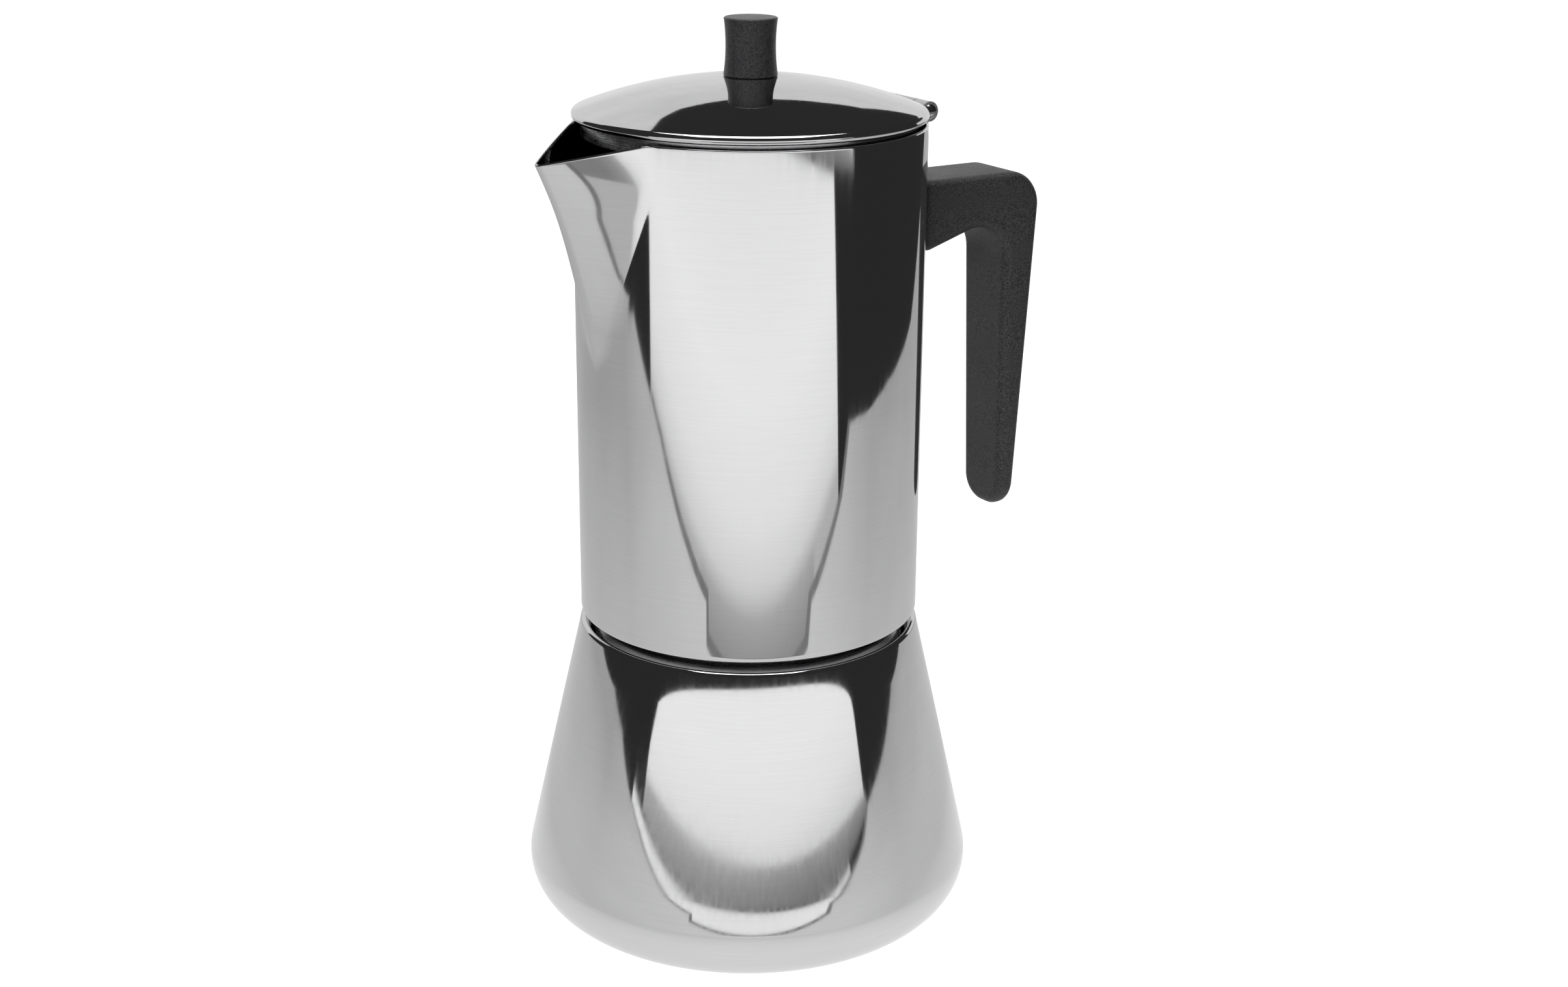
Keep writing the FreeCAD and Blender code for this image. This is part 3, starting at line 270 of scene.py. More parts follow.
def pressed_fibre(name, dark, light):
    """Dull compressed fibre sheet with visible flecks."""
    material = bpy.data.materials.new(name)
    tree, shader = nodes_of(material)
    fleck = grain(tree, (1, 1, 1), 1800, 4.0)
    tree.links.new(tinted(tree, fleck, dark, light), shader.inputs["Base Color"])
    tree.links.new(spread(tree, fleck, 0.7, 0.9), shader.inputs["Roughness"])
    bumped(tree, shader, fleck, 2e-5)
    return material


brass = turned_brass("turned_brass", (0.42, 0.27, 0.10), (0.62, 0.43, 0.17))
fibre = pressed_fibre("red_fibre", (0.20, 0.05, 0.03), (0.33, 0.10, 0.06))
for node, name, material, body, finish in (
        ("valve_body", "valve_housing", brass, "boiler", "brass"),
        ("valve_nut", "valve_lock_nut", brass, "boiler", "brass"),
        ("valve_cap", "valve_spring_cap", brass, "boiler", "brass"),
        ("valve_washer", "valve_sealing_washer", fibre, "boiler", "washer_fibre"),
        ("valve_poppet", "valve_plate", brass, "poppet", "brass")):
    piece = smoothed_copy(node, name, material)
    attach(piece, body)
    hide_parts(node)

# The coil spring is wound from hard drawn wire, four turns, ends as cut.
spring_wire = bpy.data.materials.new("spring_wire")
wire_tree, wire_shader = nodes_of(spring_wire)
wire_shader.inputs["Metallic"].default_value = 1.0
wire_lines = grain(wire_tree, (1, 1, 1), 3000, 2.0)
wire_tree.links.new(tinted(wire_tree, wire_lines, (0.36, 0.36, 0.37), (0.5, 0.5, 0.5)),
                    wire_shader.inputs["Base Color"])
wire_tree.links.new(spread(wire_tree, wire_lines, 0.2, 0.32), wire_shader.inputs["Roughness"])
bumped(wire_tree, wire_shader, wire_lines, 2e-6)


def tree_input(tree, name, kind, default):
    """Named input of a geometry tree."""
    socket = tree.interface.new_socket(name=name, in_out="INPUT", socket_type=kind)
    if default is not None:
        socket.default_value = default
    return socket


def made_by_tree(name, tree, values, base=None):
    """Plain mesh object from a geometry tree run with the given input values."""
    holder_mesh = base if base is not None else bpy.data.meshes.new(name + "_base")
    holder = bpy.data.objects.new(name + "_holder", holder_mesh)
    scene.collection.objects.link(holder)
    modifier = holder.modifiers.new("Tree", "NODES")
    modifier.node_group = tree
    for socket, number in values:
        modifier[socket.identifier] = number
    graph = bpy.context.evaluated_depsgraph_get()
    graph.update()
    mesh = bpy.data.meshes.new_from_object(holder.evaluated_get(graph))
    mesh.name = name
    bpy.data.objects.remove(holder)
    piece = bpy.data.objects.new(name, mesh)
    scene.collection.objects.link(piece)
    return piece


coil_tree = bpy.data.node_groups.new("CoilSpring", "GeometryNodeTree")
coil_turns = tree_input(coil_tree, "Turns", "NodeSocketFloat", 4.0)
coil_radius = tree_input(coil_tree, "Coil Radius", "NodeSocketFloat", 0.0022)
coil_height = tree_input(coil_tree, "Height", "NodeSocketFloat", 0.0045)
coil_wire = tree_input(coil_tree, "Wire Radius", "NodeSocketFloat", 0.00035)
coil_tree.interface.new_socket(name="Geometry", in_out="OUTPUT", socket_type="NodeSocketGeometry")
coil_in = coil_tree.nodes.new("NodeGroupInput")
coil_out = coil_tree.nodes.new("NodeGroupOutput")
spiral = coil_tree.nodes.new("GeometryNodeCurveSpiral")
spiral.inputs["Resolution"].default_value = 40
section = coil_tree.nodes.new("GeometryNodeCurvePrimitiveCircle")
section.inputs["Resolution"].default_value = 12
sweep = coil_tree.nodes.new("GeometryNodeCurveToMesh")
sweep.inputs["Fill Caps"].default_value = True
real = coil_tree.nodes.new("GeometryNodeRealizeInstances")
paint = coil_tree.nodes.new("GeometryNodeSetMaterial")
paint.inputs["Material"].default_value = spring_wire
for out_node, out_socket, in_node, in_socket in (
        (coil_in, "Turns", spiral, "Rotations"),
        (coil_in, "Coil Radius", spiral, "Start Radius"),
        (coil_in, "Coil Radius", spiral, "End Radius"),
        (coil_in, "Height", spiral, "Height"),
        (coil_in, "Wire Radius", section, "Radius"),
        (spiral, "Curve", sweep, "Curve"),
        (section, "Curve", sweep, "Profile Curve"),
        (sweep, "Mesh", real, "Geometry"),
        (real, "Geometry", paint, "Geometry"),
        (paint, "Geometry", coil_out, "Geometry")):
    coil_tree.links.new(out_node.outputs[out_socket], in_node.inputs[in_socket])
spring_height = 0.0045
spring = made_by_tree("valve_coil_spring", coil_tree, (
    (coil_turns, 4.0), (coil_radius, 0.0022), (coil_height, spring_height), (coil_wire, 0.00035)))
valve_axis = Vector((0, math.cos(math.radians(cone_angle)), math.sin(math.radians(cone_angle))))
spring_low, spring_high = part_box("valve_spring")
spring_middle = (spring_low + spring_high) / 2
spring_place = (Matrix.Translation(spring_middle - valve_axis * spring_height / 2)
                @ valve_axis.to_track_quat("Z", "X").to_matrix().to_4x4())
spring.data.transform(spring_place)
spring.data.shade_smooth()
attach(spring, "boiler")
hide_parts("valve_spring")

# ---- Funnel ----
# Basket, cone and flange pressed from one stainless disc, with the riser tube rolled in
# and a perforated plate pressed on the ledge.  Brushed, not polished.
basket_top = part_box("funnel_basket")[1].z / MM
basket_sheet, basket_depth = 0.8, 25.0
basket_low = basket_top - basket_sheet - basket_depth
funnel_outline = (
    [(32.2, basket_top), (41.9, basket_top), (41.9, basket_top - basket_sheet)]
    + arc(33.8, basket_top - 1.6, 0.8, 90, 180, 5)
    + [(33.0, basket_low + 1.5)]
    + arc(31.5, basket_low + 1.5, 1.5, 0, -72, 6)
    + [(5.8, basket_low - 7.0), (5.8, basket_low - 12.0), (5.0, basket_low - 12.0),
       (5.0, basket_low - 6.2), (29.2, basket_low + 0.8), (32.2, basket_low + 0.8)])
funnel = turned("coffee_funnel", funnel_outline, 240, 35)
funnel.data.materials.append(satin_steel)
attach(funnel, "funnel")
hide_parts("funnel_basket")
riser = smoothed_copy("funnel_tube", "riser_tube", satin_steel)
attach(riser, "funnel")
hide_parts("funnel_tube")

# ---- Perforated plates ----
# Two stainless discs with punched holes in six-fold rings: one on the ledge of the
# basket, one above the coffee inside the gasket.  Punched, so each hole has a crisp edge.


def punching_tree(name, material):
    """Disc with holes cut at the points it is given."""
    tree = bpy.data.node_groups.new(name, "GeometryNodeTree")
    points = tree_input(tree, "Hole Places", "NodeSocketGeometry", None)
    edge = tree_input(tree, "Disc Radius", "NodeSocketFloat", 0.03)
    thick = tree_input(tree, "Thickness", "NodeSocketFloat", 0.0008)
    hole = tree_input(tree, "Hole Radius", "NodeSocketFloat", 0.0007)
    tree.interface.new_socket(name="Geometry", in_out="OUTPUT", socket_type="NodeSocketGeometry")
    group_in = tree.nodes.new("NodeGroupInput")
    group_out = tree.nodes.new("NodeGroupOutput")
    disc = tree.nodes.new("GeometryNodeMeshCylinder")
    disc.inputs["Vertices"].default_value = 180
    punch = tree.nodes.new("GeometryNodeMeshCylinder")
    punch.inputs["Vertices"].default_value = 14
    punch.inputs["Depth"].default_value = 0.004
    places = tree.nodes.new("GeometryNodeInstanceOnPoints")
    real = tree.nodes.new("GeometryNodeRealizeInstances")
    cutting = tree.nodes.new("GeometryNodeMeshBoolean")
    cutting.operation = "DIFFERENCE"
    paint = tree.nodes.new("GeometryNodeSetMaterial")
    paint.inputs["Material"].default_value = material
    links = tree.links
    links.new(group_in.outputs["Disc Radius"], disc.inputs["Radius"])
    links.new(group_in.outputs["Thickness"], disc.inputs["Depth"])
    links.new(group_in.outputs["Hole Radius"], punch.inputs["Radius"])
    links.new(group_in.outputs["Hole Places"], places.inputs["Points"])
    links.new(punch.outputs["Mesh"], places.inputs["Instance"])
    links.new(places.outputs["Instances"], real.inputs["Geometry"])
    links.new(disc.outputs["Mesh"], cutting.inputs["Mesh 1"])
    links.new(real.outputs["Geometry"], cutting.inputs["Mesh 2"])
    links.new(cutting.outputs["Mesh"], paint.inputs["Geometry"])
    links.new(paint.outputs["Geometry"], group_out.inputs["Geometry"])
    return tree, edge, thick, hole


def hole_places(name, rings, pitch):
    """Points at the punched holes: k holes in each sixth of ring k."""
    places = [(0, 0, 0)]
    for level in range(1, rings + 1):
        for step in range(6 * level):
            turn = math.radians(60.0 * step / level + 7.0 * level)
            places.append((level * pitch * math.cos(turn), level * pitch * math.sin(turn), 0))
    mesh = bpy.data.meshes.new(name)
    mesh.from_pydata(places, [], [])
    return mesh


plate_steel = machined_steel(
    "punched_steel", 0.3, (0.44, 0.44, 0.45), (0.58, 0.58, 0.59), 1.5e-6)
hole_radius, hole_pitch, hole_rings = 0.0007, 0.0048, 6
punching, disc_edge, disc_thick, disc_hole = punching_tree("PunchedDisc", plate_steel)
for node, name, body in (("basket_plate", "basket_sieve", "funnel"),
                         ("filter_plate", "upper_sieve", "filter")):
    low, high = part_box(node)
    sieve = made_by_tree(name, punching, (
        (disc_edge, (high.x - low.x) / 2), (disc_thick, high.z - low.z),
        (disc_hole, hole_radius)), hole_places(name + "_places", hole_rings, hole_pitch))
    sieve.data.transform(Matrix.Translation((0, 0, (low.z + high.z) / 2)))
    sieve.data.shade_smooth()
    sieve.data.set_sharp_from_angle(angle=math.radians(35))
    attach(sieve, body)
    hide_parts(node)

# ---- Gasket ----
# A flat ring moulded in pale rubber, with softly rounded edges.  It is pushed into the
# foot of the chamber and seals the chamber floor on the funnel's flange.
gasket_low, gasket_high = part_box("gasket")
seal_low, seal_high = gasket_low.z / MM, gasket_high.z / MM
gasket = turned("rubber_gasket", (
    arc(34.8, seal_low + 0.4, 0.4, 180, 270, 4) + arc(42.0, seal_low + 0.4, 0.4, 270, 360, 4)
    + arc(42.0, seal_high - 0.4, 0.4, 0, 90, 4) + arc(34.8, seal_high - 0.4, 0.4, 90, 180, 4)),
    240, 50)
rubber = bpy.data.materials.new("moulded_rubber")
rubber_tree, rubber_shader = nodes_of(rubber)
rubber_spots = grain(rubber_tree, (1, 1, 1), 900, 4.0)
rubber_tree.links.new(tinted(rubber_tree, rubber_spots, (0.50, 0.47, 0.43), (0.62, 0.59, 0.55)),
                      rubber_shader.inputs["Base Color"])
rubber_tree.links.new(spread(rubber_tree, rubber_spots, 0.5, 0.68),
                      rubber_shader.inputs["Roughness"])
bumped(rubber_tree, rubber_shader, rubber_spots, 1e-5)
gasket.data.materials.append(rubber)
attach(gasket, "seal")
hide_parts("gasket")

# ---- Upper chamber ----
# A deep drawn tube of polished steel with a turned-in foot.  The spout is pressed out of
# its wall: a vee with a round nose that widens towards the rim, the lip cut sloping down.
chamber_low, chamber_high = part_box("chamber_shell")
rim_height = chamber_high.z / MM
foot_height = chamber_low.z / MM
wall_outside = 46.0
wall_sheet = 0.8
spout_cuts = ((160.0, 45.9, 9.0, 78.0), (180.0, 50.5, 6.0, 60.0),
              (200.0, 56.3, 3.6, 49.7), (221.0, 65.4, 2.4, 39.2))
spout_foot, spout_spread, crease = 142.0, math.radians(80), 0.6
lip_start = 41.4
lip_fall = math.tan(math.radians(17.0))


def spout_cut(height):
    """Reach, nose radius and half angle of the spout at a height, smooth through the cuts."""
    cuts = spout_cuts
    if height <= cuts[0][0]:
        slopes = [(cuts[1][k] - cuts[0][k]) / (cuts[1][0] - cuts[0][0]) for k in (1, 2, 3)]
        return [cuts[0][k + 1] + slopes[k] * (height - cuts[0][0]) for k in range(3)]
    n = 0
    while n < len(cuts) - 2 and height > cuts[n + 1][0]:
        n += 1
    span = cuts[n + 1][0] - cuts[n][0]
    t = (height - cuts[n][0]) / span
    result = []
    for k in (1, 2, 3):
        here = (cuts[n + 1][k] - cuts[n][k]) / span
        before = here if n == 0 else (cuts[n][k] - cuts[n - 1][k]) / (cuts[n][0] - cuts[n - 1][0])
        after = here
        if n < len(cuts) - 2:
            after = (cuts[n + 2][k] - cuts[n + 1][k]) / (cuts[n + 2][0] - cuts[n + 1][0])
        m0, m1 = (before + here) / 2 * span, (here + after) / 2 * span
        result.append(
            (2 * t ** 3 - 3 * t ** 2 + 1) * cuts[n][k] + (t ** 3 - 2 * t ** 2 + t) * m0
            + (-2 * t ** 3 + 3 * t ** 2) * cuts[n + 1][k] + (t ** 3 - t ** 2) * m1)
    return result


def spout_radius(off, height, inset):
    """Distance of the spout surface from the axis, off = angle from its nose."""
    reach, nose, half = spout_cut(height)
    reach, nose, half = reach - inset, nose - inset, math.radians(half)
    touch = math.atan2(nose * math.cos(half), reach - nose + nose * math.sin(half))
    if off < touch:
        run = reach - nose
        return run * math.cos(off) + math.sqrt(max(nose ** 2 - (run * math.sin(off)) ** 2, 0))
    flank = nose + (reach - nose) * math.sin(half)
    if half + off > math.pi / 2:
        return flank * math.sin(half + off) ** 2
    return flank / math.sin(half + off)


def blended(first, second, width):
    """The larger of two values, rounded where they meet."""
    share = min(max(0.5 + 0.5 * (second - first) / width, 0.0), 1.0)
    return first + (second - first) * share + width * share * (1 - share)


def wall_radius(off, height, inset):
    """Wall of the chamber: the tube, or the spout where that stands out."""
    plain = wall_outside - inset
    if off > spout_spread or height < spout_foot:
        return plain
    return blended(plain, spout_radius(off, height, inset), crease)


def lip_height(off, inset):
    """Height of the rim over a place on the wall, falling along the spout."""
    height = rim_height
    for _ in range(12):
        out = wall_radius(off, height, inset) * math.cos(off) - lip_start
        soft = blended(0.0, out, 1.5) if out > -3 else 0.0
        height = rim_height - soft * lip_fall
    return height


def column_angles():
    """Angles from the spout's nose, close together over the spout."""
    angles = [0.22 * k for k in range(0, 60)]
    angles += [13.2 + 0.5 * k for k in range(0, 100)]
    angles += [63.2 + (180 - 63.2) * k / 70 for k in range(0, 71)]
    return [math.radians(a) for a in angles]


half_angles = column_angles()
turns = [math.pi - a for a in half_angles] + [math.pi + a for a in half_angles[1:-1]][::-1]
offs = half_angles + half_angles[1:-1][::-1]
chamber_mesh = bmesh.new()
plain_levels = [88.4, 100.0, 115.0, 130.0, spout_foot]
wall_steps, rim_margin = 69, 0.6
rim_turn = ((0.0, 0.3), (0.015, 0.22), (0.075, 0.09), (0.22, 0.0))


def wall_column(off, inset):
    """Radius and height up one face of the wall, from the plain tube to the turned rim."""
    top = lip_height(off, inset)
    away = -1 if inset == 0 else 1
    column = [(wall_outside - inset, z) for z in plain_levels]
    for k in range(1, wall_steps + 1):
        z = spout_foot + (top - rim_margin - spout_foot) * k / wall_steps
        column.append((wall_radius(off, z, inset), z))
    for back, down in rim_turn:
        column.append((wall_radius(off, top - down, inset) + away * back, top - down))
    return column


outside, inside = [], []
for turn, off in zip(turns, offs):
    column_out = (arc(wall_outside - 1.1, foot_height + 1.1, 1.1, -90, 0, 6)
                  + wall_column(off, 0.0))
    column_in = (
        [(wall_outside - 1.8, foot_height), (wall_outside - 1.8, foot_height + wall_sheet),
         (wall_outside - wall_sheet, foot_height + wall_sheet)]
        + wall_column(off, wall_sheet))
    direction = (math.cos(turn), math.sin(turn))
    for column, store in ((column_out, outside), (column_in, inside)):
        store.append([chamber_mesh.verts.new(
            (r * MM * direction[0], r * MM * direction[1], z * MM)) for r, z in column])
count = len(outside)
for i in range(count):
    j = (i + 1) % count
    for wall in (outside, inside):
        for k in range(len(wall[i]) - 1):
            chamber_mesh.faces.new((wall[i][k], wall[j][k], wall[j][k + 1], wall[i][k + 1]))
    chamber_mesh.faces.new((outside[i][-1], outside[j][-1], inside[j][-1], inside[i][-1]))
    chamber_mesh.faces.new((outside[i][0], outside[j][0], inside[j][0], inside[i][0]))
chamber = finished("upper_chamber", chamber_mesh, 58)
chamber.data.materials.append(bright_steel)
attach(chamber, "chamber")
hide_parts("chamber_shell")

# ---- Chamber floor, coffee column and its cap ----
# The floor is pressed steel, welded in above the thread collar; the column is a drawn
# tube welded on it, with a pressed cap whose two slots let the coffee out.
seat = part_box("chamber_floor")[0].z / MM
floor = turned("chamber_floor_pressing", (
    [(45.2, seat), (45.2, seat + 1.0), (32.6, seat + 1.0), (32.0, seat + 1.15),
     (8.6, seat + 15.0), (8.6, seat + 14.0), (32.0, seat + 0.15), (32.6, seat)]), 240, 35)
floor.data.materials.append(satin_steel)
column_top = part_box("coffee_column")[1].z / MM
column = turned("coffee_riser", (
    [(7.8, seat + 14.0), (8.6, seat + 14.0), (8.6, seat + 24.0), (8.5, seat + 25.6),
     (6.5, seat + 34.4), (6.4, seat + 36.0), (6.4, column_top), (5.6, column_top),
     (5.6, seat + 35.0), (7.8, seat + 25.0)]), 128, 35)
column.data.materials.append(satin_steel)
column_cap = smoothed_copy("column_cap", "riser_cap", satin_steel)
collar = smoothed_copy("chamber_thread_collar", "chamber_thread", satin_steel)
for piece, node in ((floor, "chamber_floor"), (column, "coffee_column"),
                    (column_cap, "column_cap"), (collar, "chamber_thread_collar")):
    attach(piece, "chamber")
    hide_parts(node)

# ---- Hinge ----
# A leaf of steel sheet spot welded to the wall, rolled into two knuckles, and a strap
# from the lid rolled into the third; a plain pin is riveted through them.
hinge_steel = machined_steel(
    "hinge_steel", 0.16, (0.50, 0.50, 0.51), (0.62, 0.62, 0.63), 1.0e-6)
for node, name, body in (("hinge_fixed_leaf", "hinge_leaf", "chamber"),
                         ("hinge_pin", "hinge_rivet", "chamber"),
                         ("hinge_lid_strap", "hinge_strap", "lid")):
    piece = smoothed_copy(node, name, hinge_steel)
    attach(piece, body)
    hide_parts(node)

# ---- Handle bracket ----
# A saddle of thick steel sheet welded to the wall, with a tongue that runs inside the
# handle; one screw and a washer clamp the grip to it from below.
for node, name in (("handle_bracket", "handle_saddle"), ("handle_washer", "grip_washer"),
                   ("handle_screw", "grip_screw")):
    piece = smoothed_copy(node, name, hinge_steel)
    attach(piece, "chamber")
    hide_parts(node)

# ---- Handle ----
# One moulding of black phenolic resin with a fine sparked texture, flat sides and soft
# bevels along every long edge, thinner and narrower towards its rounded lower end.


def sparked_resin(name, dark, light, rough_low, rough_high, depth, scale):
    """Black moulded resin with a fine, dull, grainy surface."""
    material = bpy.data.materials.new(name)
    tree, shader = nodes_of(material)
    shader.inputs["Specular IOR Level"].default_value = 0.5
    coarse = spread(tree, grain(tree, (1, 1, 1), scale, 3.0, 0.6), 0.0, 1.0, 0.36, 0.64)
    fine = grain(tree, (1, 1, 1), scale * 2.7, 2.0, 0.6)
    shade = grain(tree, (1, 1, 1), 60, 2.0)
    tree.links.new(tinted(tree, coarse, dark, light), shader.inputs["Base Color"])
    tree.links.new(spread(tree, shade, rough_low, rough_high), shader.inputs["Roughness"])
    bumped(tree, shader, added(tree, coarse, fine), depth)
    return material


resin = sparked_resin("black_resin", (0.006, 0.006, 0.007), (0.046, 0.046, 0.048),
                      0.34, 0.44, 0.7e-4, 3000)
grip_top, grip_foot = 200.1, 96.8
outer_lean = math.atan((89.0 - 84.3) / (grip_top - 101.8))
shoulder = 10.0
outer_turn = (89.0 - shoulder / math.cos(outer_lean) - shoulder * math.tan(outer_lean),
              grip_top - shoulder)
under_angle, throat_round = 17.7, 9.3
under_rise = math.radians(under_angle)
throat = (77.3 - throat_round,
          180.2 + (68.0 - 50.0) * math.tan(under_rise) - throat_round / math.cos(under_rise))
grip_outline = (
    [(50.0, grip_top), (50.0, 180.2)]
    + arc(*throat, throat_round, 90 + under_angle, 0, 16)
    + [(79.3, grip_foot), (84.3, grip_foot)]
    + arc(*outer_turn, shoulder, -math.degrees(outer_lean), 90, 18))


def prism(name, outline, axis, low, high):
    """Outline in millimetres pushed along X or Y between two places."""
    shape = bmesh.new()
    ends = []
    for place in (low, high):
        corners = []
        for a, b in outline:
            point = (a, place, b) if axis == "Y" else (place, a, b)
            corners.append(shape.verts.new([c * MM for c in point]))
        ends.append(corners)
    for i in range(len(outline)):
        j = (i + 1) % len(outline)
        shape.faces.new((ends[0][i], ends[0][j], ends[1][j], ends[1][i]))
    shape.faces.new(ends[0])
    shape.faces.new(ends[1])
    return finished(name, shape)


def shaped(piece, cutter, operation):
    """Piece cut by, or kept inside, another, which is then removed."""
    modifier = piece.modifiers.new("Shape", "BOOLEAN")
    modifier.operation = operation
    modifier.object = cutter
    modifier.solver = "EXACT"
    graph = bpy.context.evaluated_depsgraph_get()
    mesh = bpy.data.meshes.new_from_object(piece.evaluated_get(graph))
    piece.modifiers.clear()
    piece.data = mesh
    bpy.data.objects.remove(cutter)


grip = prism("resin_grip", grip_outline, "Y", -14.0, 14.0)
end_half, end_round, end_height = 1.2, 7.4, 109.2
front_outline = (
    [(10.52, 203.0)] + arc(end_half, end_height, end_round, 0, -90, 12)
    + arc(-end_half, end_height, end_round, -90, -180, 12) + [(-10.52, 203.0)])
shaped(grip, prism("front_form", front_outline, "X", 40.0, 100.0), "INTERSECT")
bevel = grip.modifiers.new("Bevel", "BEVEL")
bevel.width = 2.3 * MM
bevel.segments = 5
bevel.limit_method = "ANGLE"
bevel.angle_limit = math.radians(38)
graph = bpy.context.evaluated_depsgraph_get()
rounded = bpy.data.meshes.new_from_object(grip.evaluated_get(graph))
grip.modifiers.clear()
grip.data = rounded
tongue_outline = [(-5.6, 189.9), (5.6, 189.9), (5.6, 194.1), (-5.6, 194.1)]
shaped(grip, prism("tongue_slot", tongue_outline, "X", 45.0, 70.0), "DIFFERENCE")
screw_place = 61.0
for name, radius, low, high in (("screw_way", 2.3, 175.0, 191.0), ("head_way", 4.6, 170.0, 187.8)):
    way = turned(name, [(0, low), (radius, low), (radius, high), (0, high)], 48)
    way.data.transform(Matrix.Translation((screw_place * MM, 0, 0)))
    shaped(grip, way, "DIFFERENCE")
grip.data.materials.clear()
grip.data.materials.append(resin)
for face in grip.data.polygons:
    face.material_index = 0
grip.data.shade_smooth()
grip.data.set_sharp_from_angle(angle=math.radians(32))
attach(grip, "chamber")
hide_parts("handle_grip")

# ---- Lid ----
# A shallow dome spun from polished sheet, its edge rolled over into a bead, with a ring
# welded underneath that drops inside the rim of the chamber.
rim_radius, dome_rise, lid_sheet, knob_flat = 46.4, 8.8, 0.8, 7.6
dome_radius = (rim_radius ** 2 + dome_rise ** 2) / (2 * dome_rise)
dome_centre = 230.7 - dome_radius


def dome(ball, radius):
    """Height of the dome over a radius."""
    return dome_centre + math.sqrt(ball ** 2 - radius ** 2)


def dome_arc(ball, first, last, steps):
    """Outline of the dome between two radii."""
    radii = [first + (last - first) * k / steps for k in range(steps + 1)]
    return [(radius, dome(ball, radius)) for radius in radii]


outer_dome = dome_arc(dome_radius, knob_flat, 45.26, 40)
inner_dome = dome_arc(dome_radius - lid_sheet, 44.5, knob_flat, 24)
seat_under, seat_top = inner_dome[-1][1], outer_dome[0][1]
bead = arc(45.26 - 0.335, 221.17, 1.2184, 72, -74, 14)
lid = turned("lid_dome", (
    [(2.0, seat_under), (2.0, seat_top)] + outer_dome + bead + [(44.5, 220.95)] + inner_dome),
    360, 40)
lid_steel = polished_steel(
    "polished_lid_steel", 0.02, 0.05, (0.645, 0.645, 0.65), (0.668, 0.668, 0.673),
    0.2e-7, 0.2e-7)
lid.data.materials.append(lid_steel)
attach(lid, "lid")
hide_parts("lid_shell")
skirt_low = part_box("lid_skirt")[0].z / MM
skirt_top = dome(dome_radius - lid_sheet, 43.8)
skirt = turned("lid_ring", (
    [(43.15, skirt_low), (43.65, skirt_low), (43.8, skirt_low + 0.15), (43.8, skirt_top),
     (43.0, skirt_top + 0.2), (43.0, skirt_low + 0.15)]), 288, 40)
skirt.data.materials.append(satin_steel)
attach(skirt, "lid")
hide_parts("lid_skirt")

# ---- Lid knob ----
# Turned-looking knob moulded in the same resin as the handle, hollow sided, on a brass
# insert; a slotted screw with a washer holds it from under the lid.
knob_low, knob_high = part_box("lid_knob")
foot, crown = knob_low.z / MM, knob_high.z / MM
hollow = 52.0
side = arc(6.46 + hollow, foot + 7.8, hollow, 180 + math.degrees(math.asin(7.5 / hollow)),
           180 - math.degrees(math.asin(6.6 / hollow)), 20)
knob = turned("lid_knob_resin", (
    [(0, foot + 8.0), (3.4, foot + 8.0), (3.4, foot), (6.7, foot)] + side
    + arc(6.45, crown - 0.5, 0.5, 0, 90, 6) + [(5.6, crown), (0, crown)]), 160, 38)
knob_resin = sparked_resin("black_knob_resin", (0.012, 0.012, 0.013), (0.04, 0.04, 0.042),
                           0.27, 0.37, 0.7e-4, 3000)
knob.data.materials.append(knob_resin)
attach(knob, "lid")
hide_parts("lid_knob")
for node, name, material, finish in (
        ("knob_insert", "knob_brass_insert", brass, "brass"),
        ("knob_washer", "knob_steel_washer", hinge_steel, "brushed_steel"),
        ("knob_screw", "knob_steel_screw", hinge_steel, "brushed_steel")):
    piece = smoothed_copy(node, name, material)
    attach(piece, "lid")
    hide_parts(node)

# ---- Studio ----
# A plain pale floor and two soft lamps.  Polished steel shows only what stands round it, so a
# glowing sheet with painted light, a strip of painted shade along its front edge, a white wall
# behind and soft screens in front are there for the steel.
view_turn = math.radians(-31.5)


def studio_place(x, y, z):
    """Studio coordinates (x to the right of the view, y away from the camera)."""
    return Vector((x * math.cos(view_turn) - y * math.sin(view_turn),
                   x * math.sin(view_turn) + y * math.cos(view_turn), z))


def board(name, corners, material, shows, mirrored, lights):
    """Flat board of the studio, and which rays meet it."""
    mesh = bpy.data.meshes.new(name)
    mesh.from_pydata([studio_place(*c) for c in corners], [], [tuple(range(len(corners)))])
    mesh.materials.append(material)
    piece = bpy.data.objects.new(name, mesh)
    scene.collection.objects.link(piece)
    piece.visible_camera = shows
    piece.visible_glossy = mirrored
    piece.visible_diffuse = lights
    piece.visible_shadow = shows


def glowing(name, dark, light):
    """Board that shines by itself, its brightness a little uneven."""
    material = bpy.data.materials.new(name)
    material.use_nodes = True
    tree = material.node_tree
    tree.nodes.clear()
    output = tree.nodes.new("ShaderNodeOutputMaterial")
    glow = tree.nodes.new("ShaderNodeEmission")
    shade = tinted(tree, grain(tree, (1, 1, 1), 3.0, 4.0), (dark,) * 3, (light,) * 3)
    tree.links.new(shade, glow.inputs["Color"])
    tree.links.new(glow.outputs["Emission"], output.inputs["Surface"])
    return material


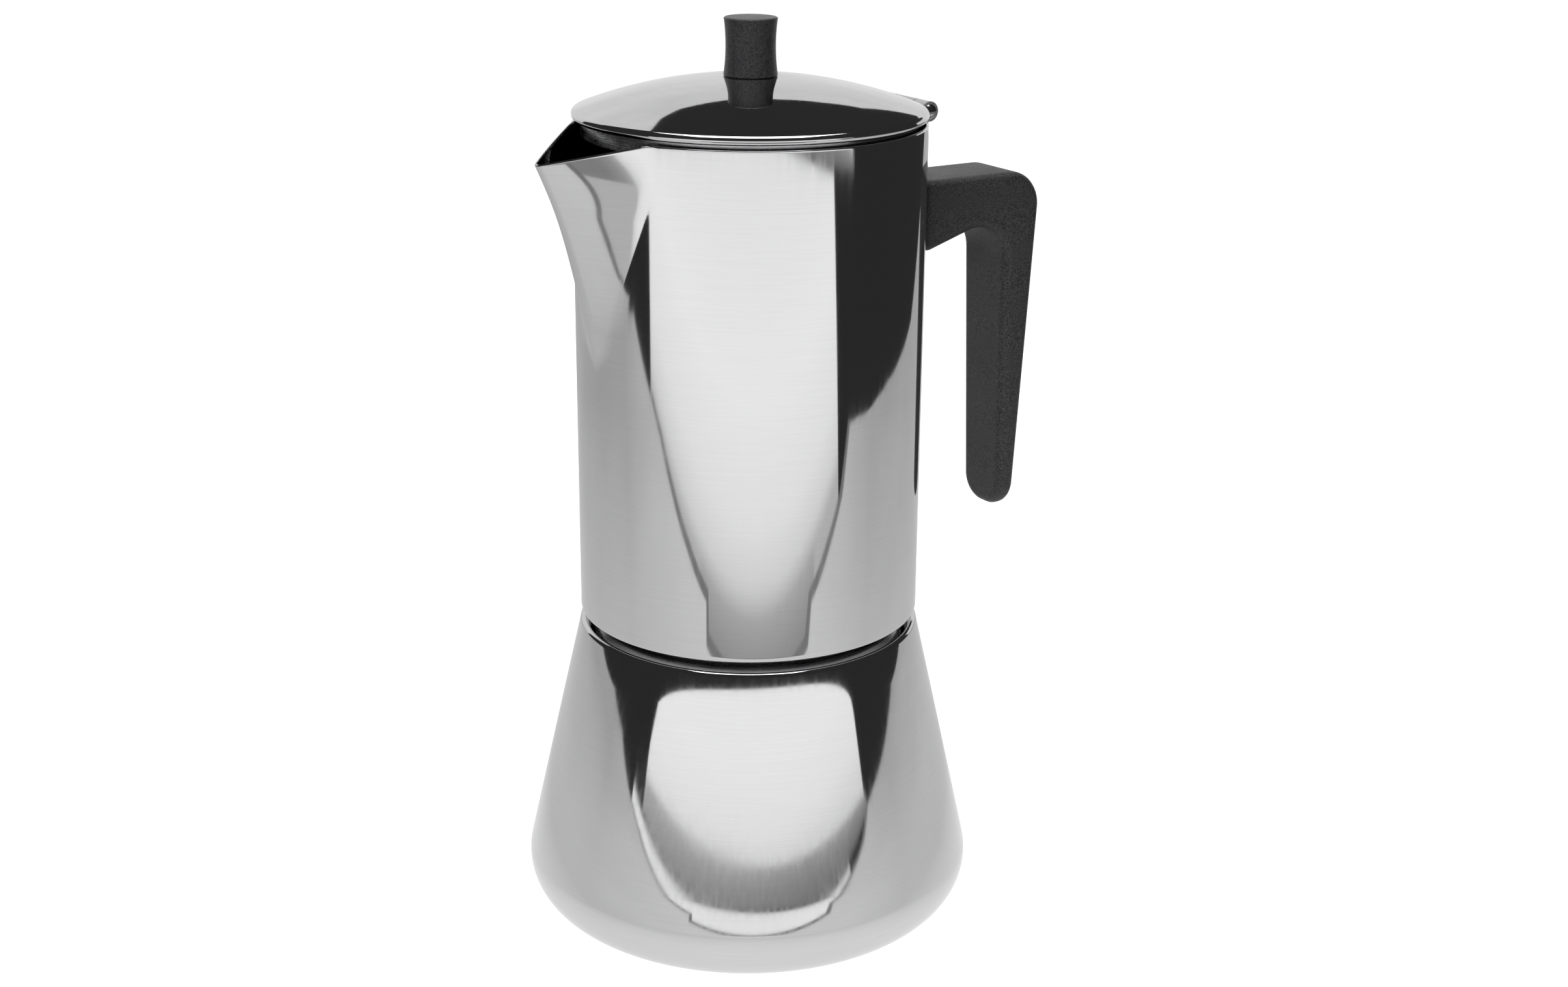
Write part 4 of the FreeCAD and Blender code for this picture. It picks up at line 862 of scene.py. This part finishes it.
floor_paint = bpy.data.materials.new("studio_floor")
floor_tree, floor_shader = nodes_of(floor_paint)
floor_tone = grain(floor_tree, (1, 1, 1), 40, 3.0)
floor_tree.links.new(tinted(floor_tree, floor_tone, (0.30, 0.30, 0.30), (0.33, 0.33, 0.33)),
                     floor_shader.inputs["Base Color"])
floor_shader.inputs["Roughness"].default_value = 0.9
floor_shader.inputs["Specular IOR Level"].default_value = 0.0
floor_shader.inputs["Emission Color"].default_value = (1, 1, 1, 1)
floor_shader.inputs["Emission Strength"].default_value = 0.97
floor_half, floor_level = 60, -0.0002
board("studio_floor", [(x * floor_half, y * floor_half, floor_level)
                       for x, y in ((-1, -1), (1, -1), (1, 1), (-1, 1))],
      floor_paint, True, False, False)


def painted_sheet_light():
    """Glow of the sheet, painted light: brighter towards its front edge and close round the pot,
    dimmer further out.
    """
    material = glowing("table_sheet_painted_light", 0.94, 1.06)
    tree = material.node_tree
    place = tree.nodes.new("ShaderNodeTexCoord")
    mapping = tree.nodes.new("ShaderNodeMapping")
    mapping.inputs["Rotation"].default_value = (0, 0, -view_turn)
    parts = tree.nodes.new("ShaderNodeSeparateXYZ")
    tree.links.new(place.outputs["Object"], mapping.inputs["Vector"])
    tree.links.new(mapping.outputs["Vector"], parts.inputs["Vector"])
    away = tree.nodes.new("ShaderNodeVectorMath")
    away.operation = "LENGTH"
    tree.links.new(place.outputs["Object"], away.inputs[0])
    fall = spread(tree, parts.outputs["Y"], 0.94, 0.70, -0.27, -0.05)
    for near, far, start, end in ((1.28, 0.95, 0.07, 0.14), (1.0, 0.74, 0.20, 0.55)):
        product = tree.nodes.new("ShaderNodeMath")
        product.operation = "MULTIPLY"
        tree.links.new(fall, product.inputs[0])
        tree.links.new(spread(tree, away.outputs["Value"], near, far, start, end),
                       product.inputs[1])
        fall = product.outputs["Value"]
    glow = next(n for n in tree.nodes if n.type == "EMISSION")
    tree.links.new(fall, glow.inputs["Strength"])
    return material


painted_sheet_glow = painted_sheet_light()
sheet_level = -0.0001
sheet_front = [(-0.534, -0.249), (-0.44, -0.276), (-0.332, -0.285), (-0.23, -0.287),
               (-0.137, -0.281), (-0.116, -0.241), (0.0, -0.226), (0.159, -0.211),
               (0.197, -0.239), (0.29, -0.226), (0.378, -0.208), (0.498, -0.213)]
sheet_back = [(0.524, -0.162), (0.575, 0.0), (0.591, 0.105), (0.585, 0.25), (0.555, 0.446),
              (0.64, 0.9), (0.75, 1.3), (-1.0, 1.3), (-0.82, 0.65), (-0.76, 0.1),
              (-0.741, -0.152), (-0.64, -0.20)]
# The sheet glows with painted light, brighter at its front edge and round the pot. Only the steel
# sees it, and it also lights the pot.
board("table_sheet_painted_light", [(x, y, sheet_level) for x, y in sheet_front + sheet_back],
      painted_sheet_glow, False, True, True)
# Dark strip of painted shade along the sheet's front edge, where the table's edge falls in shadow.
# Only the steel sees it.
edge_painted_shade = glowing("sheet_edge_painted_shade", 0.20, 0.26)
edge_width = 0.015
board("sheet_edge_painted_shade", [(x, y, sheet_level) for x, y in sheet_front]
      + [(x, y - edge_width, sheet_level) for x, y in reversed(sheet_front)],
      edge_painted_shade, False, True, False)
screen_distance = 2.0


def screen(name, left, right, low, high, bend, material, steps=56, rows=14, lights=True):
    """Curved screen round the pot.  low and high give the slope of its edges for a
    bearing, left and right the bearing of its sides for a slope; bend curves its light."""
    mesh = bpy.data.meshes.new(name)
    places, map_places, faces = [], [], []
    for k in range(rows + 1):
        share = k / rows
        middle = low(0) + (high(0) - low(0)) * share
        first, last = left(middle), right(middle)
        for i in range(steps + 1):
            degrees = first + (last - first) * i / steps
            bearing = math.radians(degrees)
            slope = low(degrees) + (high(degrees) - low(degrees)) * share
            places.append(studio_place(
                screen_distance * math.sin(bearing), -screen_distance * math.cos(bearing),
                screen_distance * slope))
            map_places.append((degrees, slope - bend * (degrees - 4) ** 2))
    for k in range(rows):
        for i in range(steps):
            corner = k * (steps + 1) + i
            faces.append((corner, corner + 1, corner + steps + 2, corner + steps + 1))
    mesh.from_pydata(places, [], faces)
    layer = mesh.uv_layers.new(name="Screen")
    for loop in mesh.loops:
        layer.data[loop.index].uv = map_places[loop.vertex_index]
    mesh.materials.append(material)
    piece = bpy.data.objects.new(name, mesh)
    scene.collection.objects.link(piece)
    piece.visible_camera = False
    piece.visible_glossy = True
    piece.visible_diffuse = lights
    piece.visible_shadow = False


ramp_foot, ramp_head = -0.45, 0.05


def screen_glow(name, stops):
    """Plain soft light of a screen, brighter or duller up its height."""
    material = bpy.data.materials.new(name)
    material.use_nodes = True
    tree = material.node_tree
    tree.nodes.clear()
    output = tree.nodes.new("ShaderNodeOutputMaterial")
    glow = tree.nodes.new("ShaderNodeEmission")
    place = tree.nodes.new("ShaderNodeUVMap")
    place.uv_map = "Screen"
    parts = tree.nodes.new("ShaderNodeSeparateXYZ")
    tree.links.new(place.outputs["UV"], parts.inputs["Vector"])
    level = spread(tree, parts.outputs["Y"], 0.0, 1.0, ramp_foot, ramp_head)
    ramp = tree.nodes.new("ShaderNodeValToRGB")
    while len(ramp.color_ramp.elements) < len(stops):
        ramp.color_ramp.elements.new(0.5)
    for element, (slope, tone) in zip(ramp.color_ramp.elements, stops):
        element.position = (slope - ramp_foot) / (ramp_head - ramp_foot)
        element.color = (tone, tone, tone, 1)
    tree.links.new(level, ramp.inputs["Fac"])
    tree.links.new(ramp.outputs["Color"], glow.inputs["Color"])
    tree.links.new(glow.outputs["Emission"], output.inputs["Surface"])
    return material


window_bend, horizon_bend = 0.000028, 6.8e-6


def horizon(degrees):
    """Slope of the edge between the dull band and the bright screen above it."""
    return -0.0165 - horizon_bend * (degrees + 12) ** 2


def band_foot(degrees):
    """Slope of the lower edge of the dull band."""
    return horizon(degrees) - 0.029 + 0.014 * (degrees / 62) ** 4


def window_foot(degrees):
    """Slope of the lower edge of the bright window, curved like a hanging cloth."""
    return -0.335 + window_bend * (degrees - 4) ** 2


low_glow = screen_glow("front_screen_low", (
    (-0.335, 0.62), (-0.318, 0.92), (-0.28, 1.1), (-0.2, 1.2), (-0.05, 1.12)))
screen("front_screen_low", lambda s: -66.5, lambda s: 64.5 - 10 * max((s + 0.3) / 0.24, 0) ** 2,
       lambda a: window_foot(a) if -33 < a < 44 else -0.60, lambda a: band_foot(a) - 0.004,
       window_bend, low_glow)
shade_glow = screen_glow("front_screen_shade", ((-0.44, 0.30), (-0.37, 0.40), (-0.335, 0.56)))
screen("front_screen_shade", lambda s: -33.5, lambda s: 44.5, lambda a: -0.60, window_foot,
       window_bend, shade_glow, lights=False)
band_glow = screen_glow("front_screen_band", ((-0.05, 0.22), (-0.035, 0.34), (-0.016, 0.50)))
screen("front_screen_band", lambda s: -59.0, lambda s: 68.5, band_foot, horizon,
       -horizon_bend, band_glow, lights=False)
high_glow = screen_glow("front_screen_high", ((-0.02, 0.98), (0.0, 1.12), (0.04, 1.2)))
screen("front_screen_high", lambda s: -59.2, lambda s: 67.2, horizon,
       lambda a: max(-0.03 + 0.155 * math.sqrt(max(1 - ((a - 4) / 63.6) ** 2, 0)), horizon(a)),
       -horizon_bend, high_glow)
wall_glow = glowing("back_wall", 0.72, 0.84)
wall_back = 1.3
wall_foot = [(-1.5, sheet_level), (1.5, sheet_level)]
wall_head = [(1.5, 0.60), (0.36, 0.62), (0.32, 0.80), (0.30, 0.875), (0.206, 0.955),
             (0.09, 1.01), (-0.07, 1.04), (-0.23, 1.12), (-0.32, 1.24), (-0.40, 1.42),
             (-1.5, 1.50)]
board("back_wall", [(x, wall_back, z) for x, z in wall_foot + wall_head],
      wall_glow, False, True, True)

world = bpy.data.worlds.new("studio_air")
world.use_nodes = True
air = world.node_tree.nodes["Background"]
air.inputs["Color"].default_value = (1, 1, 1, 1)
path = world.node_tree.nodes.new("ShaderNodeLightPath")
air_glow = spread(world.node_tree, path.outputs["Is Camera Ray"], 0.03, 0.97, 0.0, 1.0)
world.node_tree.links.new(air_glow, air.inputs["Strength"])
scene.world = world
for name, place, size, power in (
        ("soft_top", (0.0, 0.1, 1.25), 0.9, 11.0),
        ("soft_front", (-0.5, -1.6, 1.2), 0.8, 40.0)):
    light = bpy.data.lights.new(name, "AREA")
    light.shape = "SQUARE"
    light.size = size
    light.energy = power
    lamp = bpy.data.objects.new(name, light)
    lamp.location = studio_place(*place)
    aim = Vector((0, 0, 0.12)) - lamp.location
    lamp.rotation_mode = "QUATERNION"
    lamp.rotation_quaternion = aim.to_track_quat("-Z", "Y")
    lamp.visible_camera = False
    lamp.visible_glossy = name == "soft_top"
    scene.collection.objects.link(lamp)

camera_data = bpy.data.cameras.new("camera")
camera_data.lens = 51.67
camera_data.sensor_width = 36.0
camera_data.clip_start = 0.02
camera_data.clip_end = 200.0
camera = bpy.data.objects.new("camera", camera_data)
scene.collection.objects.link(camera)
pitch, yaw, roll = math.radians(18.366), math.radians(0.941), math.radians(0.524)
ahead = Vector((math.sin(yaw) * math.cos(pitch), math.cos(yaw) * math.cos(pitch),
                -math.sin(pitch)))
level = Vector((math.cos(yaw), -math.sin(yaw), 0))
upward = level.cross(ahead)
right = level * math.cos(roll) + upward * math.sin(roll)
above = upward * math.cos(roll) - level * math.sin(roll)
axes = [studio_place(*v) for v in (right, above, -ahead)]
camera.matrix_world = (Matrix.Translation(studio_place(0, -0.5812, 0.3107))
                       @ Matrix(axes).transposed().to_4x4())
scene.camera = camera
scene.view_settings.view_transform = "Standard"
